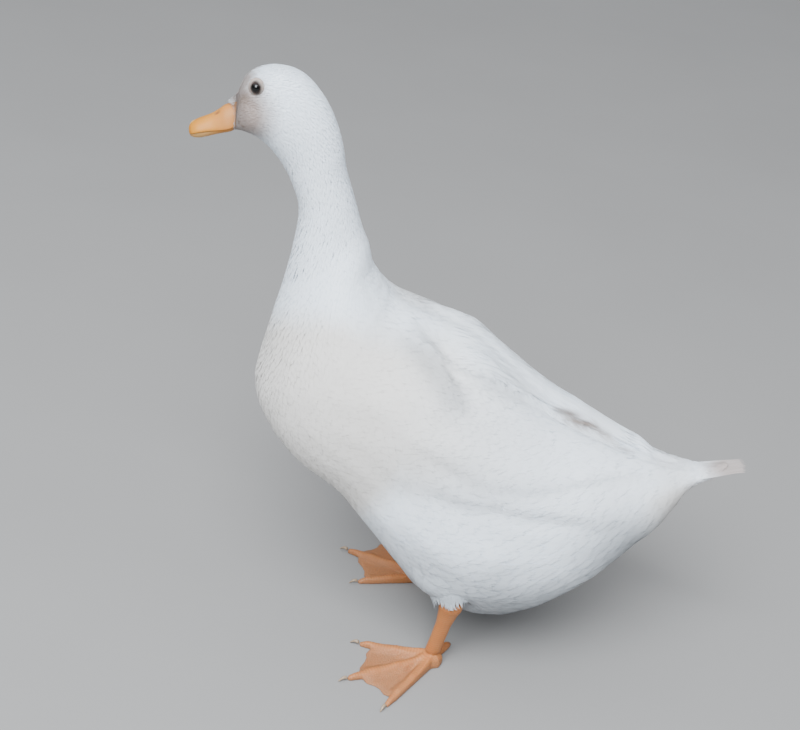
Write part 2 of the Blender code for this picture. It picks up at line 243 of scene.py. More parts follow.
# Markings that skin and coat share: soft weights worked out from places on the body.
markingSet = {
    # the white's blue cast is painted skylight; the last, dark grey colour is painted shade
    "colours": {"white": (0.83, 0.9, 0.97, 1.0), "cream": (0.7, 0.675, 0.64, 1.0),
                "warmTintAndShade": (0.3, 0.225, 0.19, 1.0), "soil": (0.13, 0.08, 0.045, 1.0),
                "paintedShade": (0.25, 0.27, 0.29, 1.0)},
    # dark flecks on the face: place, radius and strength
    "flecks": [((0.0085, -0.1893, 0.4335), 0.002, 0.85), ((0.0083, -0.1875, 0.4371), 0.006, 0.5),
               ((0.008, -0.1908, 0.429), 0.0011, 0.85), ((0.009, -0.1883, 0.4195), 0.0016, 0.85),
               ((0.0095, -0.1853, 0.4165), 0.0014, 0.85), ((0.008, -0.1913, 0.4115), 0.0014, 0.85),
               ((-0.0275, -0.1875, 0.4371), 0.006, 0.5), ((-0.0275, -0.1888, 0.43), 0.0016, 0.85)],
    # soiled feather edges along the middle of the back: place, width and strength
    "soiledLine": [(-0.009, 0.072, 0.214, 0.0036, 0.6), (-0.0124, 0.083, 0.2084, 0.0064, 1.0),
                   (-0.0144, 0.0935, 0.2038, 0.006, 1.0), (-0.0155, 0.1046, 0.1993, 0.0044, 0.9),
                   (-0.0147, 0.1149, 0.1951, 0.0044, 0.7), (-0.0096, 0.1246, 0.1913, 0.0044, 0.6),
                   (-0.006, 0.1324, 0.1882, 0.004, 0.5)],
    # soft warm-grey places, mirrored: place, reach and strength; on the face and the tail a warm tint, under
    # the vent painted shade
    "warmTintsAndShades": [((0.02, -0.186, 0.427), 0.033, 0.95), ((0.006, -0.188, 0.412), 0.02, 0.95),
                ((0.008, -0.189, 0.444), 0.017, 0.85), ((0.004, -0.1965, 0.437), 0.015, 0.9),
                # under the vent: painted shade; on the tail: a warm tint
                ((0.0, 0.17, 0.148), 0.048, 0.45), ((0.0, 0.218, 0.184), 0.034, 0.84)],
    # painted shade in the hollow behind the breast and along the underside of the scapular band's edge,
    # mirrored: lines of places, width and strength
    "hollowShades": [([(0.038, -0.04, 0.274), (0.044, -0.031, 0.27), (0.052, -0.0235, 0.264),
                  (0.06, -0.016, 0.256), (0.066, -0.008, 0.247)], 0.015, 0.46),
                ([(0.035, -0.029, 0.2705), (0.0405, -0.016, 0.265), (0.0395, 0.0005, 0.258),
                  (0.0325, 0.0215, 0.2455), (0.0215, 0.046, 0.229)], 0.0065, 0.3)],
    # the creamy breast and sides lie between two borders: distance along the body and height
    "creamTop": [(-0.165, 0.258), (-0.155, 0.266), (-0.142, 0.28), (-0.13, 0.286), (-0.115, 0.291),
                 (-0.097, 0.291), (-0.079, 0.285), (-0.064, 0.281), (-0.032, 0.274), (-0.002, 0.263),
                 (0.016, 0.254), (0.04, 0.238), (0.064, 0.219), (0.084, 0.208), (0.101, 0.201),
                 (0.123, 0.192), (0.142, 0.185)],
    "creamLow": [(-0.1, 0.04), (-0.08, 0.095), (-0.066, 0.135), (-0.054, 0.165), (-0.042, 0.188),
                 (-0.011, 0.186), (0.033, 0.182), (0.072, 0.172), (0.111, 0.161), (0.14, 0.15)],
}


def slowWave(points, scale):
    x, y, z = points[:, 0] * scale, points[:, 1] * scale, points[:, 2] * scale
    return (np.sin(x * 1.3 + 2.1 * y) + np.sin(1.7 * z - 1.1 * x + 1.0) + np.sin(2.3 * y + 0.7 * z + 2.0)) / 3


def spotsOn(line, parts=4):
    # even steps along a line of places, all but its last place
    line = np.array(line)
    return [between(line[k], line[k + 1], part / parts) for k in range(len(line) - 1) for part in range(parts)]


def withSpot(weight, points, place, size, strength, squash=1.0):
    # a weight with one soft round spot laid over it
    return np.maximum(weight, strength * np.exp(-((points - place) ** 2 * squash).sum(1) / size ** 2))


def creamAt(y, z, wave):
    top = np.interp(y, *zip(*markingSet["creamTop"]))
    low = np.interp(y, *zip(*markingSet["creamLow"]))
    cream = smoothStep(0.014, -0.014, z - top + 0.004 * wave)
    cream = cream * smoothStep(-0.034, 0.03, z - low + 0.006 * wave)
    cream = cream * between(1.0, 0.18, smoothStep(-0.08, 0.08, y))
    under = smoothStep(0.13, 0.17, y) * smoothStep(0.182, 0.168, z) * 0.9
    return np.clip(np.maximum(cream, under), 0, 1)


def paintedShadeAt(mirrored, wave):
    # painted shade: grey on the underside, under the tail, in the hollow behind the breast and under the edge
    # of the scapular band
    y, z = mirrored[:, 1], mirrored[:, 2]
    belly = 0.9 * smoothStep(0.14, 0.055, z + 0.006 * wave)
    rear = 0.85 * smoothStep(0.07, 0.15, y) * smoothStep(0.188, 0.13, z + 0.004 * wave)
    paintedShade = np.maximum(belly, rear)
    for line, width, strength in markingSet["hollowShades"]:
        for place in spotsOn(line):
            paintedShade = withSpot(paintedShade, mirrored, place, width, strength)
    return paintedShade


# warm tint on the face and tail, painted shade under the vent
def warmTintAndShadeAt(mirrored):
    warmTintAndShade = np.zeros(len(mirrored))
    for place, size, strength in markingSet["warmTintsAndShades"]:
        away = np.linalg.norm(mirrored - place, axis=1)
        warmTintAndShade = np.maximum(warmTintAndShade, strength * smoothStep(size, 0.3 * size, away))
    return warmTintAndShade


def soilAt(points):
    soil = np.zeros(len(points))
    for place, size, strength in markingSet["flecks"]:
        soil = withSpot(soil, points, place, size, strength)
    patchy = np.clip(0.88 + 0.5 * slowWave(points * (1.0, 0.4, 1.0), 420.0), 0, 1)
    for spot in spotsOn(markingSet["soiledLine"]):
        soil = withSpot(soil, points, spot[:3], spot[3], spot[4] * patchy, squash=(1.0, 1.0, 0.5))
    return soil


def markings(points):
    x, y, z = points.T
    wave = slowWave(points, 55.0)
    mirrored = np.stack([np.abs(x - middleX), y, z], 1)
    return {"cream": creamAt(y, z, wave), "warmTintAndShade": warmTintAndShadeAt(mirrored), "soil": soilAt(points),
            "paintedShade": paintedShadeAt(mirrored, wave)}


def markedColour(tree):
    colours = markingSet["colours"]
    # the base white carries a painted blue cast of skylight
    colour = colours["white"]
    for name in ("cream", "paintedShade", "warmTintAndShade", "soil"):
        colour = mixColour(tree, attribute(tree, name), colour, colours[name])
    return colour


featherLook = {
    "sockets": {"Roughness": 0.75, "Sheen Weight": 0.2, "Sheen Roughness": 0.5, "Specular IOR Level": 0.2},
    "grey": (0.66, 0.67, 0.68, 1.0), "slant": 0.8, "shaftWidth": 0.03, "shaftHeight": 2.5,
}


def makePlumage(name, barbs, bump):
    material, tree, shader = newMaterial(name, featherLook["sockets"])
    vane = addNode(tree, "ShaderNodeUVMap", uv_map="vane")
    split = tree.nodes.new("ShaderNodeSeparateXYZ")
    tree.links.new(vane.outputs[0], split.inputs[0])
    off = maths(tree, "ABSOLUTE", maths(tree, "SUBTRACT", split.outputs[0], 0.5))
    colour = mixColour(tree, attribute(tree, "tone"), markedColour(tree), featherLook["grey"])
    tree.links.new(colour, shader.inputs["Base Color"])
    # barbs run outwards and backwards from the shaft
    slanted = maths(tree, "SUBTRACT", split.outputs[1], times(tree, off, featherLook["slant"]))
    stripe = maths(tree, "SINE", times(tree, slanted, barbs * 6.283))
    shaft = times(tree, maths(tree, "LESS_THAN", off, featherLook["shaftWidth"]), featherLook["shaftHeight"])
    addRelief(tree, shader, maths(tree, "ADD", stripe, shaft), bump)
    return material


softPlumage = makePlumage("soft feathers", 14.0, 0.08)
flightPlumage = makePlumage("flight feathers", 55.0, 0.3)


def makeSkin():
    material, tree, shader = newMaterial("skin under the coat", {"Roughness": 0.8})
    tree.links.new(markedColour(tree), shader.inputs["Base Color"])
    return material


legLook = {
    "sockets": {"Roughness": 0.52, "Subsurface Weight": 0.12, "Subsurface Scale": 0.004,
                "Specular IOR Level": 0.4},
    "orange": (0.47, 0.15, 0.034, 1.0), "pale": (0.54, 0.215, 0.075, 1.0), "dark": (0.26, 0.1, 0.04, 1.0),
    "mud": (0.23, 0.15, 0.1, 1.0), "plateLength": 0.0024,
}


def makeLegSkin():
    material, tree, shader = newMaterial("scaly orange leg", legLook["sockets"])
    space = objectSpace(tree)
    # plates across the toes and the shank, a net of small scales elsewhere
    plated = attribute(tree, "toe")
    ridge = maths(tree, "SINE", times(tree, attribute(tree, "scute"), math.pi / legLook["plateLength"]))
    plates = maths(tree, "POWER", maths(tree, "ABSOLUTE", ridge), 0.35)
    cells = addNode(tree, "ShaderNodeTexVoronoi", Scale=620.0, feature="DISTANCE_TO_EDGE")
    tree.links.new(space, cells.inputs["Vector"])
    net = maths(tree, "MINIMUM", 1.0, times(tree, cells.outputs[0], 5.0))
    unplated = maths(tree, "SUBTRACT", 1.0, plated)
    height = maths(tree, "ADD", times(tree, plates, plated), times(tree, net, unplated))
    colour = mixColour(tree, noiseAt(tree, space, 55.0, 4.0), legLook["orange"], legLook["pale"])
    seam = times(tree, maths(tree, "SUBTRACT", 1.0, height), 0.55)
    colour = mixColour(tree, seam, colour, legLook["dark"])
    # mud, more of it near the floor
    parts = tree.nodes.new("ShaderNodeSeparateXYZ")
    tree.links.new(space, parts.inputs[0])
    low = maths(tree, "MAXIMUM", 0.0, maths(tree, "MULTIPLY_ADD", parts.outputs[2], -90.0, 0.75))
    mud = times(tree, noiseAt(tree, space, 30.0, 5.0, 0.65), low)
    colour = mixColour(tree, times(tree, mud, 1.1), colour, legLook["mud"])
    tree.links.new(colour, shader.inputs["Base Color"])
    addRelief(tree, shader, height, 0.55, 0.0006)
    return material


billLook = {
    "sockets": {"Roughness": 0.5, "Subsurface Weight": 0.1, "Subsurface Scale": 0.003,
                "Specular IOR Level": 0.3},
    "tip": (0.5, 0.2, 0.014, 1.0), "middle": (0.52, 0.21, 0.032, 1.0), "root": (0.43, 0.18, 0.05, 1.0),
    # the dark colour inside the nostrils is painted shade
    "nail": (0.7, 0.45, 0.2, 1.0), "nostrilShade": (0.22, 0.09, 0.035, 1.0),
}


def makeBill():
    material, tree, shader = newMaterial("waxy bill", billLook["sockets"])
    space = objectSpace(tree)
    blotch = maths(tree, "MULTIPLY_ADD", noiseAt(tree, space, 130.0, 4.0, 0.6), 0.35, -0.175)
    place = maths(tree, "ADD", attribute(tree, "along"), blotch)
    colour = ramp(tree, place, [(0.0, billLook["root"]), (0.45, billLook["middle"]), (1.0, billLook["tip"])])
    # the nail is paler horn; the nostrils are darkened with painted shade
    for name in ("nail", "nostrilShade"):
        colour = mixColour(tree, attribute(tree, name), colour, billLook[name])
    tree.links.new(colour, shader.inputs["Base Color"])
    addRelief(tree, shader, noiseAt(tree, space, 900.0), 0.12)
    return material


eyeLook = {
    "sockets": {"Roughness": 0.16, "Coat Weight": 0.15, "Coat Roughness": 0.03, "Specular IOR Level": 0.3},
    # from behind the ball, over its side and the iris, to the pupil
    "rings": [(0.0, (0.004, 0.003, 0.003, 1.0)), (0.7, (0.006, 0.004, 0.004, 1.0)),
              (0.74, (0.022, 0.011, 0.008, 1.0)), (0.86, (0.014, 0.008, 0.006, 1.0)),
              (0.9, (0.002, 0.002, 0.002, 1.0))],
}


def makeEye(side, centre, outward):
    material, tree, shader = newMaterial("dark eye " + side, eyeLook["sockets"])
    moved = addNode(tree, "ShaderNodeMapping", Location=tuple(-centre))
    tree.links.new(objectSpace(tree), moved.inputs[0])
    way = addNode(tree, "ShaderNodeVectorMath", operation="NORMALIZE")
    tree.links.new(moved.outputs[0], way.inputs[0])
    facing = addNode(tree, "ShaderNodeVectorMath", operation="DOT_PRODUCT")
    facing.inputs[1].default_value = tuple(outward)
    tree.links.new(way.outputs[0], facing.inputs[0])
    streak = maths(tree, "MULTIPLY_ADD", noiseAt(tree, moved.outputs[0], 900.0), 0.05, -0.025)
    iris = ramp(tree, maths(tree, "ADD", facing.outputs["Value"], streak), eyeLook["rings"])
    tree.links.new(iris, shader.inputs["Base Color"])
    return material


lidLook = {
    "sockets": {"Roughness": 0.6, "Subsurface Weight": 0.1, "Subsurface Scale": 0.002},
    "dark": (0.27, 0.22, 0.19, 1.0), "pale": (0.38, 0.32, 0.29, 1.0), "rim": (0.03, 0.022, 0.018, 1.0),
}


def makeLid():
    material, tree, shader = newMaterial("eyelid", lidLook["sockets"])
    grain = noiseAt(tree, objectSpace(tree), 700.0, 4.0)
    colour = mixColour(tree, grain, lidLook["dark"], lidLook["pale"])
    colour = mixColour(tree, attribute(tree, "rim"), colour, lidLook["rim"])
    tree.links.new(colour, shader.inputs["Base Color"])
    addRelief(tree, shader, grain, 0.4)
    return material


clawLook = {"sockets": {"Roughness": 0.35}, "dark": (0.24, 0.16, 0.1, 1.0), "pale": (0.4, 0.31, 0.22, 1.0)}


def makeClaw():
    material, tree, shader = newMaterial("claw horn", clawLook["sockets"])
    grain = noiseAt(tree, objectSpace(tree), 400.0)
    tree.links.new(mixColour(tree, grain, clawLook["dark"], clawLook["pale"]), shader.inputs["Base Color"])
    return material


# Stations of the outer form, from the bill to the tip of the tail: y, z and lean of the section's up direction.
# 0 on the bill, 1 its root, 2 forehead, 3 brow, 4 crown, 5 poll, 6 nape, 7 to 9 neck, 10 its root, 11 crop,
# 12 breast, 13 shoulder, 14 back, 15 loin, 16 paunch, 17 vent, 18 rump, then root, fan, end and tip of tail.
bodyLine = [
    (-0.2068, 0.4125, -19), (-0.1928, 0.421, 0), (-0.1888, 0.429, 4), (-0.1768, 0.433, 17),
    (-0.1608, 0.429, 30), (-0.1468, 0.415, 48), (-0.1368, 0.398, 57), (-0.1298, 0.3795, 63),
    (-0.1228, 0.357, 64), (-0.1228, 0.32, 50), (-0.1238, 0.288, 41), (-0.1218, 0.256, 35),
    (-0.1018, 0.226, 25), (-0.0648, 0.207, 19), (-0.0258, 0.178, 16), (0.0152, 0.147, 12),
    (0.0612, 0.135, 5), (0.1142, 0.146, -2), (0.1552, 0.1615, -12), (0.182, 0.172, -18),
    (0.204, 0.178, -20), (0.2195, 0.183, -14), (0.2262, 0.1855, -10),
]
lastStation = len(bodyLine) - 1.0
headTilt = math.radians(9.0)
gridRows, gridColumns = 540, 360      # stations, and turns round each


def stationFrame(place):
    y, z, lean = readRows(bodyLine, place)
    lean = math.radians(lean)
    tilt = headTilt * min(max((7.0 - place) / 3.0, 0.0), 1.0)
    up = np.array([0.0, math.sin(lean), math.cos(lean)])
    side = np.array([1.0, 0.0, 0.0])
    middle = np.array([middleX, y, z])
    return middle, side * math.cos(tilt) + up * math.sin(tilt), up * math.cos(tilt) - side * math.sin(tilt)


def makeForm(name, nodes):
    form = copyOfNodes(name, nodes)
    applied(form, "REMESH", mode="VOXEL", voxel_size=0.0022)
    applied(form, "SMOOTH", factor=0.5, iterations=6)
    return form



def castGrid(form):
    # where rays from the body's middle line leave the outer form, station by station and all round
    tree = BVHTree.FromPolygons([v.co for v in form.data.vertices], [p.vertices for p in form.data.polygons])
    grid = np.zeros((gridRows, gridColumns, 3))
    turns = [fullTurn * column / gridColumns for column in range(gridColumns)]
    for row in range(gridRows):
        middle, side, up = stationFrame(lastStation * row / (gridRows - 1))
        origin = Vector(middle)
        for column, turn in enumerate(turns):
            way = side * math.sin(turn) + up * math.cos(turn)
            hit = tree.ray_cast(origin, Vector(way), 0.3)[0]
            grid[row, column] = hit if hit is not None else middle + way * 0.0008
    for _ in range(3):      # soften the wings' steps a little
        grid = 0.5 * grid + 0.25 * (np.roll(grid, 1, 1) + np.roll(grid, -1, 1))
        inner = 0.5 * grid[1:-1] + 0.25 * (grid[2:] + grid[:-2])
        grid = np.concatenate([grid[:1], inner, grid[-1:]])
    return grid


def narrowTail(points):
    # the feathered tail is a little slimmer and shorter than the solid one
    x, y, z = points.T
    rear = smoothStep(0.16, 0.21, y)
    slim = (x - middleX) * (1 - 0.42 * rear) + middleX
    return np.stack([slim, y - 0.55 * np.maximum(y - 0.2, 0), z + 0.0022 * rear], 1)


class Lie:
    # a surface that feathers lie on, read at (place, angle) or, on the tail, (place, across)
    def __init__(self, grid, places, angles, closed):
        self.grid, self.closed = grid, closed
        self.places, self.angles = places, angles
        rows, columns = grid.shape[:2]
        gaps = columns if closed else columns - 1
        self.step = (places[1] - places[0]) / (rows - 1), (angles[1] - angles[0]) / gaps
        along = np.gradient(grid, axis=0) / self.step[0]
        if closed:
            across = (np.roll(grid, -1, 1) - np.roll(grid, 1, 1)) / (2 * self.step[1])
        else:
            across = np.gradient(grid, axis=1) / self.step[1]
        normal = unit(np.cross(across, along), least=1e-12)
        if closed:
            for _ in range(2):
                normal = unit(normal + np.roll(normal, 1, 1) + np.roll(normal, -1, 1), least=1e-12)
        self.normal = normal
        # metres for each unit of place and of angle
        self.alongSize = np.maximum(np.linalg.norm(along, axis=2), 0.004)[..., None]
        self.acrossSize = np.maximum(np.linalg.norm(across, axis=2), 0.003)[..., None]

    def read(self, grid, place, angle):
        rows, columns = grid.shape[:2]
        row = np.clip((np.asarray(place, float) - self.places[0]) / self.step[0], 0, rows - 1)
        column = (np.asarray(angle, float) - self.angles[0]) / self.step[1]
        column = column % columns if self.closed else np.clip(column, 0, columns - 1)
        r0 = np.minimum(row.astype(int), rows - 2)
        c0 = np.minimum(column.astype(int), columns - (1 if self.closed else 2))
        c1 = (c0 + 1) % columns
        f, g = (row - r0)[..., None], (column - c0)[..., None]
        return (grid[r0, c0] * (1 - f) * (1 - g) + grid[r0 + 1, c0] * f * (1 - g)
                + grid[r0, c1] * (1 - f) * g + grid[r0 + 1, c1] * f * g)

    def at(self, place, angle):
        return self.read(self.grid, place, angle)

    def normalAt(self, place, angle):
        return self.read(self.normal, place, angle)

    def pace(self, place, angle):
        return self.read(self.alongSize, place, angle)[..., 0], self.read(self.acrossSize, place, angle)[..., 0]


form = makeForm("outer form", fleshNodes)
wholeForm = makeForm("form with bill", fleshNodes + ["bill_upper", "bill_lower"])
bodyGrid = narrowTail(castGrid(wholeForm).reshape(-1, 3)).reshape(gridRows, gridColumns, 3)
bpy.data.objects.remove(wholeForm)
bodyRange = dict(places=(0.0, lastStation), angles=(0.0, fullTurn), closed=True)
bareLie = Lie(bodyGrid, **bodyRange)
print("outer form read", len(form.data.vertices))


def fold(width, height, *line, both=False):
    # a soft swelling or hollow: width and height in metres, and a line of (station, degrees, strength)
    return {"width": width, "height": height, "line": line, "both": both}


def step(drop, edge, reach, *line, lip=0.0, side=1, both=False):
    # an edge where one group of feathers overlaps the next: its far side drops, then comes up again
    return {"drop": drop, "edge": edge, "reach": reach, "lip": lip, "side": side, "line": line, "both": both}


# Folds and steps of the plumage. Those with "both" are laid on the other side too.
folds = {
    "back": fold(0.02, 0.003, (12.7, 12, 1), (13.6, 8, 1), (14.5, 0, 1), (15.2, -8, 1), (16.4, -18, 1)),
    "right shoulder": fold(0.018, 0.003, (13.4, -28, 1), (13.9, -30, 1)),
    "flank": fold(0.02, 0.0022, (13.4, 80, 1), (14.3, 64, 1), (15.6, 54, 1), (16.6, 58, 1), both=True),
    "thigh": fold(0.018, 0.0028, (13.9, 114, 1), (14.6, 104, 1), (15.4, 100, 1), both=True),
    "rump behind the wing tips": fold(0.009, 0.003, (17.75, -45, 0.8), (17.85, -25, 1), (17.9, 0, 0.6)),
    "front lobe of the vent": fold(0.014, 0.0016, (16.4, 138, 1), (17.0, 128, 1), both=True),
    "low lobe of the vent": fold(0.012, 0.002, (17.5, 150, 1), (18.0, 140, 1), both=True),
    "rear lobe of the vent": fold(0.011, 0.0018, (17.9, 112, 1), (18.5, 112, 1), both=True),
    "nape": fold(0.024, 0.0026, (5.0, 0, 0.6), (6.5, 0, 0.9), (8.0, 0, 0.7), (9.4, 0, 0.5), (10.2, 0, 0.6)),
    "foot of the neck": fold(0.036, 0.005, (10.6, 0, 0.5), (11.2, 0, 1), (11.8, 0, 1), (12.2, 0, 0.6)),
    "between shoulder and nape": fold(0.016, -0.0042, (12.15, -14, 0.6), (12.5, -16, 1), (12.9, -16, 0.6)),
    "behind the breast": fold(0.013, -0.003, (12.9, 30, 0.6), (13.3, 33, 1), (13.7, 38, 1), (14.0, 43, 0.5),
                              both=True),
    "full vent": fold(0.03, 0.003, (15.6, 168, 0.5), (16.2, 155, 1), (17.0, 145, 1), (17.7, 140, 1), both=True),
    "where the left leg comes out": fold(0.0105, -0.007, (15.1, 137, 1), (15.35, 138, 1)),
    "where the right leg comes out": fold(0.0105, -0.006, (14.85, -137, 1), (15.1, -138, 1)),
    "in front of the eye": fold(0.0055, -0.001, (2.25, 78, 1), (2.6, 90, 1), both=True),
    "behind the eye": fold(0.003, -0.0007, (3.6, 60, 1), (3.95, 74, 1), (4.1, 88, 0.5), both=True),
    "cheek": fold(0.01, 0.0009, (3.2, 122, 1), (3.8, 118, 1), both=True),
    "brow": fold(0.0045, 0.0006, (2.5, 52, 1), (3.1, 52, 1), both=True),
}
steps = {
    "breast over the left wing": step(
        0.0135, 0.0125, 0.026, (12.7, 24, 0.1), (13.0, 25, 0.6), (13.25, 27.5, 1), (13.5, 32, 1),
        (13.7, 38, 0.85), (13.9, 44, 0.45), (14.15, 51, 0.05), side=-1),
    "breast over the right wing": step(
        0.006, 0.008, 0.022, (13.0, -30, 0.1), (13.5, -38, 1), (13.9, -46, 0.6), (14.3, -52, 0.1)),
    "back over the left wing": step(
        0.0044, 0.003, 0.018, (13.0, 25, 0.3), (13.5, 25, 0.8), (14.0, 23, 1), (14.45, 19, 1), (15.14, 11, 1),
        (15.88, 3, 1), (16.4, -2, 1), (17.2, -8, 0.6), lip=0.0008),
    "flank over the thigh": step(
        0.0042, 0.008, 0.026, (13.5, 89, 0.1), (13.9, 83, 0.3), (14.6, 74, 0.8), (15.2, 66, 1), (16.2, 64, 1),
        (16.6, 69, 1), (17.1, 78, 0.4), both=True),
}


def spotsAlong(shape, mirror):
    line = np.array(shape["line"], float)
    f = np.linspace(0, len(line) - 1, 6 * len(line))
    place, angle, strength = (np.interp(f, range(len(line)), line[:, k]) for k in range(3))
    angle = np.radians(angle) * mirror
    return bareLie.at(place, angle), bareLie.normalAt(place, angle), strength


def foldLift(shape, strength, nearest):
    return strength * shape["height"] * np.exp(-nearest / shape["width"] ** 2)


def stepLift(shape, strength, nearest, away, along, aside):
    # away leads from the line's nearest spot, where the line runs along and drops aside
    signed = np.sign((away * aside).sum(1)) * np.sqrt(nearest)
    over = np.abs((away * along).sum(1))
    power = strength * np.exp(-(np.maximum(over - 0.004, 0) / 0.012) ** 2)
    near = np.exp(-(signed / shape["edge"]) ** 2)
    low = -shape["drop"] * (1 - near) * np.exp(-(signed / shape["reach"]) ** 2)
    return power * np.where(signed > 0, low, 0) + power * shape["lip"] * near


def raisedBy(points):
    # how far folds and steps lift the coat at each point, with a soft ripple over the whole body
    lifted = 0.0004 * slowWave(points * (1.0, 0.35, 0.8), 150.0) * smoothStep(0.36, 0.28, points[:, 2])
    for shape in (*folds.values(), *steps.values()):
        for mirror in ((1, -1) if shape["both"] else (1,)):
            spots, normals, strength = spotsAlong(shape, mirror)
            nearest, which = np.full(len(points), 1e9), np.zeros(len(points), int)
            for k, spot in enumerate(spots):
                apart = ((points - spot) ** 2).sum(1)
                which[apart < nearest] = k
                nearest = np.minimum(nearest, apart)
            if "height" in shape:
                lifted += foldLift(shape, strength[which], nearest)
            else:
                along = unit(np.gradient(spots, axis=0))
                aside = np.cross(along, normals) * shape["side"] * mirror
                away = points - spots[which]
                lifted += stepLift(shape, strength[which], nearest, away, along[which], aside[which])
    return lifted


raisedGrid = raisedBy(bodyGrid.reshape(-1, 3)).reshape(gridRows, gridColumns, 1)
bridge = {"first": 9.0, "last": 13.4, "half": 75.0, "levelled": 520, "smoothed": 60}


def filledGrid(grid):
    # feathers bridge the hollow of the back of the neck: the coat is levelled there, outwards only
    rows = slice(*(int(bridge[end] / lastStation * gridRows) for end in ("first", "last")))
    part = np.roll(grid[rows], gridColumns // 2, 1)
    level = part.copy()
    for _ in range(bridge["levelled"]):
        level[1:-1] = 0.5 * (level[2:] + level[:-2])
    normal = np.roll(bareLie.normal[rows], gridColumns // 2, 1)
    turn = np.abs(np.arange(gridColumns) - gridColumns // 2) * 360.0 / gridColumns
    along = np.linspace(0, 1, len(part))
    ends = smoothStep(0, 0.2, along) * smoothStep(1, 0.8, along)
    mask = smoothStep(bridge["half"], 0.6 * bridge["half"], turn)[None] * ends[:, None]
    lift = np.maximum(((level - part) * normal).sum(2), 0) * mask
    for _ in range(bridge["smoothed"]):
        lift[1:-1, 1:-1] = 0.25 * (lift[2:, 1:-1] + lift[:-2, 1:-1] + lift[1:-1, 2:] + lift[1:-1, :-2])
    made = grid.copy()
    made[rows] = np.roll(part + normal * lift[..., None], -(gridColumns // 2), 1)
    return made


bodyLie = Lie(filledGrid(bodyGrid + bareLie.normal * raisedGrid), **bodyRange)

# Depth of the skin under the outside of the coat.
coatDepth = {"head": 0.0007, "neck": 0.0013, "body": 0.002, "tail": 0.0009}


def bodySkin(form):
    points, normals = pointsOf(form), pointsOf(form, "normal")
    depth = between(coatDepth["body"], coatDepth["neck"], smoothStep(0.3, 0.36, points[:, 2]))
    depth = between(depth, coatDepth["head"], smoothStep(0.385, 0.41, points[:, 2]))
    depth = between(depth, coatDepth["tail"], smoothStep(0.14, 0.17, points[:, 1]))
    setPoints(form, narrowTail(points) + normals * (raisedBy(points) - depth)[:, None])
    applied(form, "SMOOTH", factor=0.5, iterations=4)
    return form


def toeLines(side):
    # where the shank meets the foot, and the tips of the toes, from the nodes of shank and claws
    shank = pointsOf(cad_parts["shank_" + side])
    heel = np.append(shank[shank[:, 2] < shank[:, 2].min() + 0.002][:, :2].mean(0), 0.0)
    tips = {}
    for toe in toeNames:
        claw = pointsOf(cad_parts["claw_%s_%s" % (side, toe)])
        reach = np.linalg.norm(claw[:, :2] - heel[:2], axis=1)
        tips[toe] = np.append(claw[reach < reach.min() + 0.0006][:, :2].mean(0), 0.0)
    return heel, tips


toeSet = {"half": 0.0048, "from": 0.004, "below": 0.018, "joints": 0.0205, "knuckle": 0.0006}


def legSkin():
    legs = copyOfNodes("legs", legNodes)
    applied(legs, "REMESH", mode="VOXEL", voxel_size=0.00085)
    applied(legs, "SMOOTH", factor=0.5, iterations=5)
    points = pointsOf(legs)
    scute, toe = np.zeros(len(points)), np.zeros(len(points))
    for side, sign in sideSign.items():
        heel, tips = toeLines(side)
        mine = points[:, 0] * sign > (middleX * sign)
        for tip in tips.values():
            way = (tip - heel)[:2] / np.linalg.norm((tip - heel)[:2])
            along = (points[:, :2] - heel[:2]) @ way
            off = np.linalg.norm(points[:, :2] - heel[:2] - along[:, None] * way, axis=1)
            near = mine & (off < toeSet["half"]) & (along > toeSet["from"]) & (points[:, 2] < toeSet["below"])
            weight = np.clip(1.25 - off / 0.0042, 0, 1) * near
            better = weight > toe
            toe[better], scute[better] = weight[better], along[better]
            # knuckles: the toe swells at its joints
            knuckle = np.exp(-(((along % toeSet["joints"]) - 0.01) / 0.0035) ** 2) * weight
            points[:, 2] += knuckle * (points[:, 2] > 0.0024) * toeSet["knuckle"]
        shank = mine & (points[:, 2] > 0.014)
        toe[shank], scute[shank] = 0.9, points[shank, 2]
    points[:, 2] = np.maximum(points[:, 2], 0.0)
    setPoints(legs, points)
    setValues(legs.data, "scute", scute)
    setValues(legs.data, "toe", toe)
    return legs


skin = bodySkin(form)
for name in ("scute", "toe"):
    skin.data.attributes.new(name, "FLOAT", "POINT")
for name, value in markings(pointsOf(skin)).items():
    setValues(skin.data, name, value)
skin.data.materials.clear()
skin.data.materials.append(makeSkin())
legs = legSkin()
legs.data.materials.append(makeLegSkin())
selectOnly(skin, legs)
bpy.ops.object.join()
skin.name = skin.data.name = "skin"
selectOnly(skin)
bpy.ops.object.shade_smooth()
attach(skin, "root")
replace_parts(skin, *fleshNodes, *legNodes)
print("skin done", len(skin.data.polygons))

billSet = {
    "drop": math.radians(19.0), "length": 0.0352, "rings": 56, "points": 48, "lower": 0.9,
    # along, half width, top, edge, bottom
    "rows": [
        (0.0, 0.0082, 0.0106, -0.0042, -0.0066), (0.14, 0.0106, 0.0104, -0.0053, -0.0085),
        (0.3, 0.0106, 0.008, -0.0052, -0.0086), (0.46, 0.0105, 0.006, -0.0046, -0.0087),
        (0.62, 0.0112, 0.0049, -0.004, -0.009), (0.78, 0.0118, 0.004, -0.0038, -0.009),
        (0.9, 0.0108, 0.0026, -0.004, -0.0082), (0.97, 0.0078, 0.0006, -0.0042, -0.007),
        (1.0, 0.0034, -0.0022, -0.0046, -0.0058),
    ],
    "inside": 0.0036, "square": 0.16,
}
billRoot = np.array([middleX, -0.1932, 0.416])
_, headSide, headUp = stationFrame(1.0)
billAhead = np.array([0.0, -math.cos(billSet["drop"]), -math.sin(billSet["drop"])])
billRise = np.cross(headSide, billAhead)
billRise *= np.sign(billRise @ headUp)
billMaterial = makeBill()


